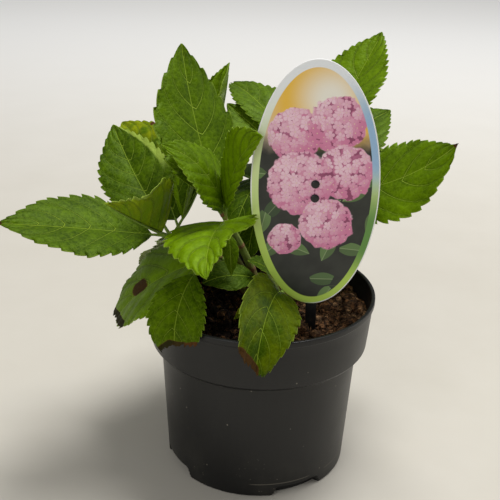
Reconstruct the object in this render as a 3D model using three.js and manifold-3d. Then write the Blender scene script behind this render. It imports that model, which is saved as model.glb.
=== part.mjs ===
// A young hydrangea shrub in a black nursery pot, with an oval picture label on a stick.
// Millimetres, +Z up. Seen from the front, X runs to the right and Y runs away.
// The origin is the centre of the pot's flat underside.

import * as THREE from 'three';
import { mergeVertices } from 'three/addons/utils/BufferGeometryUtils.js';
import Module from 'manifold-3d';

const wasm = await Module();
wasm.setup();

// Pot
const POT_HEIGHT = 154;
const RIM_RADIUS = 95;
const COLLAR_FOOT_RADIUS = 90.5;
const COLLAR_FOOT = 112;
const BODY_TOP_RADIUS = 82.5;
const BASE_RADIUS = 76.5;
const WALL = 1.8;
const FLOOR = 2.6;
const FLOOR_RADIUS = 63.5;
const LIP_HEIGHT = 5;
const LIP_OUT = 1.2;
const LIP_ROUND = 0.8;
const FOOT_ROUND = 2;
const HEEL_HEIGHT = 16;
const POT_SIDES = 48;

// Drainage notches in the pot's foot
const NOTCH_COUNT = 4;
const NOTCH_FIRST = -62;
const NOTCH_ANGLE = 34;
const NOTCH_HEIGHT = 9;
const NOTCH_END_HEIGHT = 0.5;
const NOTCH_SLOPE = 0.2;
const NOTCH_DEPTH = 5.5;

// Soil
const SOIL_TOP = 139;
const SOIL_FLAT_RADIUS = 42;
const SOIL_SHOULDER_RADIUS = 74;
const SOIL_SHOULDER_DROP = 2.1;
const SOIL_EDGE_DROP = 3.5;
const WALL_GAP = 0.5;
const CLEARANCE = 0.3;

// Stems
const STEM_SIDES = 8;
const STEM_STEPS = 9;
const CROWN_STEPS = 5;
const FOOT_FLARE = 1.5;
const FLARE_FADE = 6;
const STEM_TAPER = 0.75;
const CROWN_TIP_RADIUS = 1.2;

// Leaves
const LEAF_THICKNESS = 1.5;
const LEAF_ROWS = 8;
const LEAF_COLUMNS = 2;
const STALK_SIDES = 5;
const STALK_STEPS = 3;
const STALK_RADIUS = 1.5;
const STALK_TAPER = 0.7;
const ROOT_SUNK = 0.12;
const DROOP_POWER = 1.4;
const FULLNESS = 0.85;
const TIP_THINNING = 0.15;
const HEEL_HALF_WIDTH = 1.2;
const TIP_HALF_WIDTH = 0.6;
const CURVE_STEPS = 40;

// Fineness of the meshes
const MERGE_DISTANCE = 1e-4;
const NEARLY_ONE = 0.95;

// Label
const PLATE_WIDTH = 97;
const PLATE_HEIGHT = 194;
const PLATE_THICKNESS = 1;
const PLATE_SEGMENTS = 64;
const PLATE_CENTRE_HEIGHT = 121;
const LABEL_X = 40;
const LABEL_Y = -43;
const LABEL_LEAN = -1.2;
const STICK_WIDTH = 6.5;
const STICK_THICKNESS = 2.4;
const STICK_BURIED = 50;
const PEG_RADIUS = 1.8;
const PEG_HEAD_RADIUS = 3.2;
const PEG_HEAD_THICKNESS = 1.6;
const PEG_SIDES = 16;
const PEG_HEIGHTS = [112.5, 123.7];
const STICK_TOP = 131;
const OVERLAP = 0.5;

// Shoots. Each is one bent line from its foot in the soil, past a bend, to its crown.
// The stem proper ends at the share "split", where the shoot's mass of leaves begins.
// A leaf grows from the share "at" of its shoot. Bearings turn from +X towards +Y, in degrees;
// rise is the slope that the stalk starts with and droop what it has lost at the tip.
// Left and right are as seen from the leaf's foot, looking along it.
const SHOOTS = {
  left: {
    foot: [-7, 8], bend: [-36, 1, 187], crown: [-77, -11, 204], split: 0.76, radius: 3.4,
    leaves: [
      { at: 0.96, bearing: 199, rise: 12, stalk: 16, length: 120, width: 74, droop: 4, roll: 19,
        belly: 0.46 },
      { at: 0.96, bearing: 131, rise: 33, stalk: 22, length: 104, width: 60, droop: 7, sweep: -18,
        roll: 25 },
      { at: 0.97, bearing: 250, rise: 30, stalk: 17, length: 92, width: 80, droop: -6, sweep: -9, roll: -8,
        fold: 62, curlLeft: 11, belly: 0.34 },
      { at: 0.95, bearing: 61, rise: 32, stalk: 19, length: 150, width: 80, droop: -29, sweep: 20, roll: 29,
        fold: 53, curlLeft: -2, curlRight: 3, belly: 0.51 },
      { at: 0.84, bearing: 117, rise: 40, stalk: 20, length: 127, width: 80, droop: 34, sweep: 3,
        roll: 28 },
    ],
  },
  centre: {
    foot: [3, -7], bend: [-10, -13, 192], crown: [-34, -21, 229], split: 0.8, radius: 3.6,
    leaves: [
      { at: 0.95, bearing: 128, rise: 54, stalk: 16, length: 128, width: 79, droop: -5, sweep: -19,
        roll: -12, fold: 4, belly: 0.4 },
      { at: 0.92, bearing: 189, rise: 78, stalk: 8, length: 75, width: 58, droop: 66, sweep: -2, roll: 22,
        fold: 7, curlLeft: -17, curlRight: -19, belly: 0.4 },
      { at: 0.92, bearing: -57, rise: 83, stalk: 10, length: 84, width: 40, droop: 54, sweep: 8, roll: -71,
        fold: 12, curlLeft: -4, belly: 0.41 },
      { at: 0.9, bearing: -110, rise: 6, stalk: 4, length: 85, width: 74, droop: 32, sweep: 26, roll: -12,
        fold: 15, curlLeft: -6, curlRight: -24, belly: 0.39 },
    ],
  },
  right: {
    foot: [13, 5], bend: [15, 9, 205], crown: [31, 27, 258], split: 0.68, radius: 3.6,
    leaves: [
      { at: 0.96, bearing: 40, rise: 45, stalk: 22, length: 115, width: 71, droop: 2, sweep: 15, roll: 2,
        fold: 20, belly: 0.45 },
      { at: 0.96, bearing: 126, rise: 40, stalk: 18, length: 99, width: 50, droop: 40, roll: 8 },
      { at: 0.93, bearing: 147, rise: 31, stalk: 15, length: 73, width: 48, droop: 10, sweep: -10,
        roll: 26 },
      { at: 0.76, bearing: 45, rise: 33, stalk: 19, length: 112, width: 70, droop: 27, roll: -14 },
      { at: 0.76, bearing: -22, rise: 8, stalk: 24, length: 120, width: 75, droop: -41, sweep: 2, roll: -39,
        fold: 3, belly: 0.54 },
    ],
  },
  low_left: {
    foot: [-7, -5], bend: [-16, -14, 172], crown: [-36, -14, 190], split: 0.78, radius: 3,
    leaves: [
      { at: 0.95, bearing: 180, rise: -17, stalk: 19, length: 110, width: 87, droop: 58, sweep: -4,
        roll: 13, fold: 8, belly: 0.32, cut: 0.8 },
      { at: 0.93, bearing: 241, rise: 16, stalk: 43, length: 82, width: 47, droop: 146, sweep: 12, roll: 5,
        fold: 10, curlLeft: -17, curlRight: -17, belly: 0.48, cut: 0.75 },
    ],
  },
  low_front: {
    foot: [19, -14], bend: [22, -14, 149], crown: [19, -17, 156], split: 0.5, radius: 3,
    leaves: [
      { at: 0.92, bearing: 259, rise: 41, stalk: 21, length: 114, width: 53, droop: 150, sweep: -7,
        roll: 37, fold: 17, curlLeft: -11, curlRight: -2, belly: 0.46, cut: 0.88 },
      { at: 0.9, bearing: 202, rise: 47, stalk: 30, length: 49, width: 31, droop: 72, sweep: -2, roll: 24,
        fold: 8, curlLeft: -20, curlRight: -16, belly: 0.55 },
      { at: 0.95, bearing: 200, rise: 73, stalk: 24, length: 27, width: 20, droop: 62, sweep: 1, roll: 22,
        fold: 16 },
      { at: 0.8, bearing: 206, rise: 4, stalk: 24, length: 24, width: 14, droop: 38, sweep: 3, roll: 9 },
    ],
  },
  back_left: {
    foot: [-6, 21], bend: [-22, 30, 176], crown: [-42, 35, 190], split: 0.8, radius: 3,
    leaves: [
      { at: 0.94, bearing: 150, rise: -26, stalk: 22, length: 74, width: 48, droop: 14, roll: -14 },
      { at: 0.92, bearing: 84, rise: -20, stalk: 20, length: 84, width: 54, droop: 16, roll: 6 },
      { at: 0.9, bearing: 122, rise: -20, stalk: 22, length: 90, width: 56, droop: 18 },
    ],
  },
  back: {
    foot: [7, 21], bend: [5, 36, 196], crown: [4, 62, 236], split: 0.78, radius: 3.4,
    leaves: [
      { at: 0.95, bearing: 100, rise: 30, stalk: 20, length: 112, width: 66, droop: 50, roll: 8 },
      { at: 0.95, bearing: 20, rise: 34, stalk: 18, length: 92, width: 54, droop: 44, roll: -10 },
      { at: 0.86, bearing: 62, rise: 8, stalk: 22, length: 108, width: 64, droop: 46, roll: 10 },
      { at: 0.86, bearing: 130, rise: 4, stalk: 22, length: 104, width: 62, droop: 36, roll: -8 },
      { at: 0.9, bearing: 257, rise: -11, stalk: 16, length: 69, width: 40, droop: 60, sweep: -3 },
      { at: 0.98, bearing: 247, rise: 3, stalk: 12, length: 79, width: 37, droop: 66, sweep: 4, roll: -17 },
    ],
  },
  back_right: {
    foot: [20, 18], bend: [33, 28, 172], crown: [50, 34, 194], split: 0.78, radius: 3,
    leaves: [
      { at: 0.95, bearing: 28, rise: 36, stalk: 18, length: 84, width: 50, droop: 34, roll: 8 },
      { at: 0.95, bearing: 84, rise: 6, stalk: 20, length: 96, width: 56, droop: 38, roll: -6 },
      { at: 0.9, bearing: 60, rise: 24, stalk: 18, length: 84, width: 50, droop: 40, roll: -10 },
    ],
  },
};

const PLASTIC = new THREE.MeshStandardMaterial({ color: 0x2b2b29, roughness: 0.5, metalness: 0 });
const PEAT = new THREE.MeshStandardMaterial({ color: 0x3c2414, roughness: 0.95, metalness: 0 });
const BARK = new THREE.MeshStandardMaterial({ color: 0x6a6a34, roughness: 0.7, metalness: 0 });
const LEAF = new THREE.MeshStandardMaterial({ color: 0x4d7a14, roughness: 0.55, metalness: 0 });
const CARD = new THREE.MeshStandardMaterial({ color: 0xd5a0b4, roughness: 0.35, metalness: 0 });

const radians = THREE.MathUtils.degToRad;

// A closed mesh as a solid that can be joined and cut.
function toSolid(geometry) {
  const bare = geometry.clone();
  bare.deleteAttribute('normal');
  bare.deleteAttribute('uv');
  const merged = mergeVertices(bare, MERGE_DISTANCE);
  const vertProperties = new Float32Array(merged.attributes.position.array);
  const triVerts = new Uint32Array(merged.index.array);
  return new wasm.Manifold(new wasm.Mesh({ numProp: 3, vertProperties, triVerts }));
}

function toGeometry(solid) {
  const mesh = solid.getMesh();
  const geometry = new THREE.BufferGeometry();
  geometry.setAttribute('position', new THREE.BufferAttribute(mesh.vertProperties, 3));
  geometry.setIndex(new THREE.BufferAttribute(mesh.triVerts, 1));
  geometry.computeVertexNormals();
  return geometry;
}

function named(name, geometry, material) {
  const mesh = new THREE.Mesh(geometry, material);
  mesh.name = name;
  return mesh;
}

function lathe(profile) {
  const points = profile.map(([radius, height]) => new THREE.Vector2(radius, height));
  const geometry = new THREE.LatheGeometry(points, POT_SIDES);
  geometry.rotateX(Math.PI / 2);
  return geometry;
}

// A closed skin over rings of equally many points, with a fan over each end ring.
function loft(rings) {
  const count = rings[0].length;
  const positions = rings.flat().flatMap((point) => point.toArray());
  const index = [];
  for (let ring = 0; ring + 1 < rings.length; ring += 1) {
    for (let side = 0; side < count; side += 1) {
      const next = (side + 1) % count;
      const low = ring * count;
      const high = low + count;
      index.push(low + side, low + next, high + next);
      index.push(low + side, high + next, high + side);
    }
  }
  const last = (rings.length - 1) * count;
  for (let side = 1; side + 1 < count; side += 1) {
    index.push(0, side + 1, side);
    index.push(last, last + side, last + side + 1);
  }
  const geometry = new THREE.BufferGeometry();
  geometry.setAttribute('position', new THREE.Float32BufferAttribute(positions, 3));
  geometry.setIndex(index);
  return geometry;
}

// A round ring of points about a centre, square to the direction along.
function ringAbout(centre, along, radius, sides) {
  const nearlyAlongX = Math.abs(along.x) > NEARLY_ONE;
  const guide = nearlyAlongX ? new THREE.Vector3(0, 1, 0) : new THREE.Vector3(1, 0, 0);
  const across = guide.addScaledVector(along, -guide.dot(along)).normalize();
  const up = new THREE.Vector3().crossVectors(along, across);
  return Array.from({ length: sides }, (_, side) => {
    const turn = (2 * Math.PI * side) / sides;
    return centre.clone()
      .addScaledVector(across, radius * Math.cos(turn))
      .addScaledVector(up, radius * Math.sin(turn));
  });
}

// The pot: a tapering body, a stepped collar and a lip. Its foot is notched for drainage.
function potGeometry() {
  const lipRadius = RIM_RADIUS - LIP_OUT;
  const wall = [
    [0, 0],
    [BASE_RADIUS - FOOT_ROUND, 0],
    [BASE_RADIUS, FOOT_ROUND],
    [BODY_TOP_RADIUS, COLLAR_FOOT - 2 * FOOT_ROUND],
    [COLLAR_FOOT_RADIUS - LIP_ROUND, COLLAR_FOOT - FOOT_ROUND],
    [COLLAR_FOOT_RADIUS, COLLAR_FOOT],
    [lipRadius, POT_HEIGHT - LIP_HEIGHT],
    [RIM_RADIUS, POT_HEIGHT - LIP_HEIGHT + LIP_ROUND],
    [RIM_RADIUS, POT_HEIGHT - LIP_ROUND],
    [RIM_RADIUS - LIP_ROUND, POT_HEIGHT],
    [lipRadius - WALL + LIP_ROUND, POT_HEIGHT],
    [lipRadius - WALL, POT_HEIGHT - LIP_ROUND],
    [COLLAR_FOOT_RADIUS - WALL, COLLAR_FOOT + FOOT_ROUND],
    [BODY_TOP_RADIUS - WALL, COLLAR_FOOT],
    [BASE_RADIUS - WALL + WALL_GAP, HEEL_HEIGHT],
    [FLOOR_RADIUS, FLOOR],
    [0, FLOOR],
  ];
  let pot = toSolid(lathe(wall));
  const outer = RIM_RADIUS;
  const inner = BASE_RADIUS - NOTCH_DEPTH;
  const roofEnd = 1 - NOTCH_SLOPE;
  for (let notch = 0; notch < NOTCH_COUNT; notch += 1) {
    const middle = radians(NOTCH_FIRST + (360 / NOTCH_COUNT) * notch);
    const half = radians(NOTCH_ANGLE / 2);
    const corner = (radius, share, height) => new THREE.Vector3(
      radius * Math.cos(middle + half * share),
      radius * Math.sin(middle + half * share),
      height,
    );
    const section = (share, top) => [
      corner(inner, share, -FOOT_ROUND),
      corner(inner, share, top),
      corner(outer, share, top),
      corner(outer, share, -FOOT_ROUND),
    ];
    const sections = [
      section(-1, NOTCH_END_HEIGHT),
      section(-roofEnd, NOTCH_HEIGHT),
      section(0, NOTCH_HEIGHT),
      section(roofEnd, NOTCH_HEIGHT),
      section(1, NOTCH_END_HEIGHT),
    ];
    pot = pot.subtract(toSolid(loft(sections)));
  }
  return toGeometry(pot);
}

// The soil fills the pot to a finger's breadth under the rim and falls a little towards the wall.
function soilGeometry(slot) {
  const wallAt = (height) => THREE.MathUtils.mapLinear(
    height, COLLAR_FOOT, POT_HEIGHT - LIP_HEIGHT, COLLAR_FOOT_RADIUS, RIM_RADIUS - LIP_OUT);
  const edge = SOIL_TOP - SOIL_EDGE_DROP;
  const shelf = COLLAR_FOOT + FOOT_ROUND;
  const fill = [
    [0, FLOOR + CLEARANCE],
    [FLOOR_RADIUS - WALL_GAP, FLOOR + CLEARANCE],
    [BASE_RADIUS - WALL, HEEL_HEIGHT + WALL_GAP],
    [BODY_TOP_RADIUS - WALL - WALL_GAP, COLLAR_FOOT + WALL_GAP],
    [wallAt(shelf) - WALL - WALL_GAP, shelf + WALL_GAP],
    [wallAt(edge) - WALL - WALL_GAP, edge],
    [SOIL_SHOULDER_RADIUS, SOIL_TOP - SOIL_SHOULDER_DROP],
    [SOIL_FLAT_RADIUS, SOIL_TOP],
    [0, SOIL_TOP],
  ];
  return toGeometry(toSolid(lathe(fill)).subtract(slot));
}

// One bent line from foot to crown.
function shootLine({ foot, bend, crown }) {
  return new THREE.QuadraticBezierCurve3(
    new THREE.Vector3(foot[0], foot[1], SOIL_TOP + CLEARANCE),
    new THREE.Vector3(...bend),
    new THREE.Vector3(...crown),
  );
}

// A limb along the stretch of a line from one share to another, thinner towards its tip.
function limb(line, from, to, footRadius, tipRadius, steps, flare = 0) {
  const rings = [];
  for (let step = 0; step <= steps; step += 1) {
    const share = step / steps;
    const at = from + (to - from) * share;
    const along = at === 0 ? new THREE.Vector3(0, 0, 1) : line.getTangent(at);
    const spread = flare * Math.exp(-FLARE_FADE * share);
    const radius = footRadius + (tipRadius - footRadius) * share + spread;
    rings.push(ringAbout(line.getPoint(at), along, radius, STEM_SIDES));
  }
  return loft(rings);
}

// The leaf's line, stalk and midrib in one. Its slope falls from rise by droop, faster towards the tip.
function leafLine(leaf, heel) {
  const total = leaf.stalk + leaf.length;
  const headings = [];
  for (let step = 0; step <= CURVE_STEPS; step += 1) {
    const share = step / CURVE_STEPS;
    const slope = radians(leaf.rise - leaf.droop * share ** DROOP_POWER);
    const bearing = radians(leaf.bearing + leaf.sweep * share);
    headings.push({
      along: new THREE.Vector3(
        Math.cos(slope) * Math.cos(bearing),
        Math.cos(slope) * Math.sin(bearing),
        Math.sin(slope),
      ),
      across: new THREE.Vector3(Math.sin(bearing), -Math.cos(bearing), 0),
    });
  }
  const places = [heel.clone()];
  for (let step = 0; step < CURVE_STEPS; step += 1) {
    const stride = total / CURVE_STEPS / 2;
    places.push(places[step].clone()
      .addScaledVector(headings[step].along, stride)
      .addScaledVector(headings[step + 1].along, stride));
  }
  return (millimetres) => {
    const exact = Math.min(millimetres / total, 1) * CURVE_STEPS;
    const step = Math.min(Math.floor(exact), CURVE_STEPS - 1);
    const part = exact - step;
    return {
      place: places[step].clone().lerp(places[step + 1], part),
      along: headings[step].along.clone().lerp(headings[step + 1].along, part).normalize(),
      across: headings[step].across.clone().lerp(headings[step + 1].across, part).normalize(),
    };
  };
}

// Half the blade's width at share u of its length: round at the stalk and drawn out to a tip.
function halfWidth(leaf, u) {
  const skew = Math.log(0.5) / Math.log(leaf.belly);
  const belly = Math.max(Math.sin(Math.PI * u ** skew), 0) ** FULLNESS;
  const least = u < 0.5 ? HEEL_HALF_WIDTH : TIP_HALF_WIDTH;
  return Math.max((leaf.width / 2) * belly * (1 - TIP_THINNING * u ** 3), least);
}

// A blade is a thin slab. Each half leaves the midrib at the angle fold and bends on by curl.
function bladeGeometry(leaf, line) {
  const skin = [];
  const back = [];
  const columns = 2 * LEAF_COLUMNS + 1;
  for (let row = 0; row <= LEAF_ROWS; row += 1) {
    const u = (leaf.cut * (1 - Math.cos((Math.PI * row) / LEAF_ROWS))) / 2;
    const { place, along, across } = line(leaf.stalk + leaf.length * u);
    const normal = new THREE.Vector3().crossVectors(across, along);
    const turn = radians(leaf.roll);
    const side = across.clone().multiplyScalar(Math.cos(turn)).addScaledVector(normal, Math.sin(turn));
    const up = normal.clone().multiplyScalar(Math.cos(turn)).addScaledVector(across, -Math.sin(turn));
    const half = halfWidth(leaf, u);
    for (let column = -LEAF_COLUMNS; column <= LEAF_COLUMNS; column += 1) {
      const share = Math.abs(column) / LEAF_COLUMNS;
      const sign = Math.sign(column);
      const fold = radians(leaf.fold);
      const curl = radians(sign < 0 ? leaf.curlLeft : leaf.curlRight);
      const reach = (Math.sin(fold + curl * share) - Math.sin(fold)) / curl;
      const lift = (Math.cos(fold) - Math.cos(fold + curl * share)) / curl;
      const point = place.clone()
        .addScaledVector(side, sign * half * reach)
        .addScaledVector(up, half * lift);
      const angle = column === 0 ? 0 : fold + curl * share;
      const outward = up.clone()
        .multiplyScalar(Math.cos(angle))
        .addScaledVector(side, -sign * Math.sin(angle));
      skin.push(point.clone().addScaledVector(outward, LEAF_THICKNESS / 2));
      back.push(point.clone().addScaledVector(outward, -LEAF_THICKNESS / 2));
    }
  }
  const positions = [...skin, ...back].flatMap((point) => point.toArray());
  const under = skin.length;
  const index = [];
  const quad = (a, b, c, d) => index.push(a, b, c, a, c, d);
  for (let row = 0; row < LEAF_ROWS; row += 1) {
    for (let column = 0; column + 1 < columns; column += 1) {
      const corner = row * columns + column;
      quad(corner, corner + 1, corner + columns + 1, corner + columns);
      quad(under + corner, under + corner + columns, under + corner + columns + 1, under + corner + 1);
    }
    const left = row * columns;
    const right = left + columns - 1;
    quad(left, left + columns, under + left + columns, under + left);
    quad(right, under + right, under + right + columns, right + columns);
  }
  const tip = LEAF_ROWS * columns;
  for (let column = 0; column + 1 < columns; column += 1) {
    quad(column, under + column, under + column + 1, column + 1);
    quad(tip + column, tip + column + 1, under + tip + column + 1, under + tip + column);
  }
  const geometry = new THREE.BufferGeometry();
  geometry.setAttribute('position', new THREE.Float32BufferAttribute(positions, 3));
  geometry.setIndex(index);
  return geometry;
}

function stalkGeometry(leaf, line) {
  const rings = [];
  const end = leaf.stalk + leaf.length * ROOT_SUNK;
  for (let step = 0; step <= STALK_STEPS; step += 1) {
    const share = step / STALK_STEPS;
    const { place, along } = line(end * share);
    const radius = THREE.MathUtils.lerp(STALK_RADIUS, STALK_RADIUS * STALK_TAPER, share);
    rings.push(ringAbout(place, along, radius, STALK_SIDES));
  }
  return loft(rings);
}

const PLAIN_LEAF = {
  stalk: 18, droop: 35, sweep: 0, roll: 0, fold: 13, curlLeft: -15, curlRight: -15, belly: 0.42, cut: 1,
};

// A mass of leaves: the shoot's upper stem with every stalk and blade joined to it.
function foliageGeometry(shoot) {
  const line = shootLine(shoot);
  const start = shoot.split + CLEARANCE / line.getLength();
  let mass = toSolid(limb(line, start, 1, shoot.radius * STEM_TAPER, CROWN_TIP_RADIUS, CROWN_STEPS));
  for (const row of shoot.leaves) {
    const leaf = { ...PLAIN_LEAF, ...row };
    const grown = leafLine(leaf, line.getPoint(leaf.at));
    mass = mass.add(toSolid(stalkGeometry(leaf, grown)));
    mass = mass.add(toSolid(bladeGeometry(leaf, grown)));
  }
  return toGeometry(mass);
}

// The label's stick stands in the soil. Two pegs on it pass through the plate and hold it.
function stickSolid(grow) {
  const length = STICK_TOP + STICK_BURIED;
  const bar = new THREE.BoxGeometry(STICK_WIDTH + 2 * grow, STICK_THICKNESS + 2 * grow, length + 2 * grow);
  bar.translate(0, PLATE_THICKNESS / 2 + CLEARANCE + STICK_THICKNESS / 2, STICK_TOP - length / 2);
  return toSolid(bar);
}

function pegGeometry(height, radius, front, back) {
  const peg = new THREE.CylinderGeometry(radius, radius, back - front, PEG_SIDES);
  peg.translate(0, (back + front) / 2, 0);
  peg.translate(0, 0, height);
  return peg;
}

function stickGeometry() {
  let stick = stickSolid(0);
  const front = -PLATE_THICKNESS / 2 - CLEARANCE;
  for (const height of PEG_HEIGHTS) {
    stick = stick.add(toSolid(pegGeometry(height, PEG_RADIUS, front - OVERLAP, STICK_THICKNESS)));
    stick = stick.add(toSolid(pegGeometry(height, PEG_HEAD_RADIUS, front - PEG_HEAD_THICKNESS, front)));
  }
  return toGeometry(stick);
}

function plateGeometry() {
  const outline = new THREE.Shape();
  outline.absellipse(0, PLATE_CENTRE_HEIGHT, PLATE_WIDTH / 2, PLATE_HEIGHT / 2, 0, 2 * Math.PI);
  const options = { depth: PLATE_THICKNESS, bevelEnabled: false, curveSegments: PLATE_SEGMENTS };
  const plate = new THREE.ExtrudeGeometry(outline, options);
  plate.rotateX(Math.PI / 2);
  plate.translate(0, PLATE_THICKNESS / 2, 0);
  let solid = toSolid(plate);
  for (const height of PEG_HEIGHTS) {
    const hole = pegGeometry(height, PEG_RADIUS + CLEARANCE, -PLATE_THICKNESS, PLATE_THICKNESS);
    solid = solid.subtract(toSolid(hole));
  }
  return toGeometry(solid);
}

const plant = new THREE.Group();
plant.add(named('pot', potGeometry(), PLASTIC));

const label = new THREE.Group();
label.position.set(LABEL_X, LABEL_Y, SOIL_TOP);
label.rotation.y = radians(LABEL_LEAN);
label.add(named('label_stick', stickGeometry(), PLASTIC));
label.add(named('label_plate', plateGeometry(), CARD));
label.updateMatrixWorld(true);

const slot = toGeometry(stickSolid(CLEARANCE));
slot.applyMatrix4(label.matrixWorld);
plant.add(named('soil', soilGeometry(toSolid(slot)), PEAT));
plant.add(label);

for (const [name, shoot] of Object.entries(SHOOTS)) {
  const line = shootLine(shoot);
  const tipRadius = shoot.radius * STEM_TAPER;
  const stem = limb(line, 0, shoot.split, shoot.radius, tipRadius, STEM_STEPS, FOOT_FLARE);
  plant.add(named(`stem_${name}`, stem, BARK));
  plant.add(named(`foliage_${name}`, foliageGeometry(shoot), LEAF));
}

export default plant;
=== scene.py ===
"""A young hydrangea shrub in its nursery pot, with an oval picture label, dressed round its frame.

The shoots, stalks and blades grow by the rule of the plant's solids, written again here and carried to
toothed, veined and quilted leaves. Lengths are in metres. The shoot table is in millimetres and degrees,
and a named size that MM multiplies is in millimetres.
"""

import math

import bpy
import numpy as np
from mathutils import Matrix, Vector


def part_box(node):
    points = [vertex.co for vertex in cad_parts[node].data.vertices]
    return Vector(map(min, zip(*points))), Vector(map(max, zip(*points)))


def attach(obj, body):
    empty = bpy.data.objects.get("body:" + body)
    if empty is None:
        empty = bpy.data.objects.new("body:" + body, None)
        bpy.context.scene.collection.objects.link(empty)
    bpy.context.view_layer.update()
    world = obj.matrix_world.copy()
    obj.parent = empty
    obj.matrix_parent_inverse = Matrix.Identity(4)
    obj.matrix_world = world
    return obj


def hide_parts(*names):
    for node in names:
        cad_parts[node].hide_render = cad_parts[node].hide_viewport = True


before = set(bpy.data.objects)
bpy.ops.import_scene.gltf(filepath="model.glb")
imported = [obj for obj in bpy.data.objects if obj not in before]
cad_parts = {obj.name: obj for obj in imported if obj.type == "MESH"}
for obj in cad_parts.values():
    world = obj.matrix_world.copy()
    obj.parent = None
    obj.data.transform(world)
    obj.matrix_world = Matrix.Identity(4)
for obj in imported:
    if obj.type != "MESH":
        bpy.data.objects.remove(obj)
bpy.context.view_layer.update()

bl_info = {
    "name": "Potted hydrangea",
    "version": (1, 0, 0),
    "blender": (4, 5, 0),
    "location": "View3D > Sidebar > Hydrangea",
    "description": "Builds a young hydrangea shrub in a black nursery pot with a picture label on a stick",
    "category": "Add Mesh",
}

MM = 0.001
TURN = 2 * math.pi
SOIL_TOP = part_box("soil")[1].z
POT_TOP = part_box("pot")[1].z
RIM_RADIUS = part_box("pot")[1].x
STICK_LOW, STICK_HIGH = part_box("label_stick")

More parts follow.
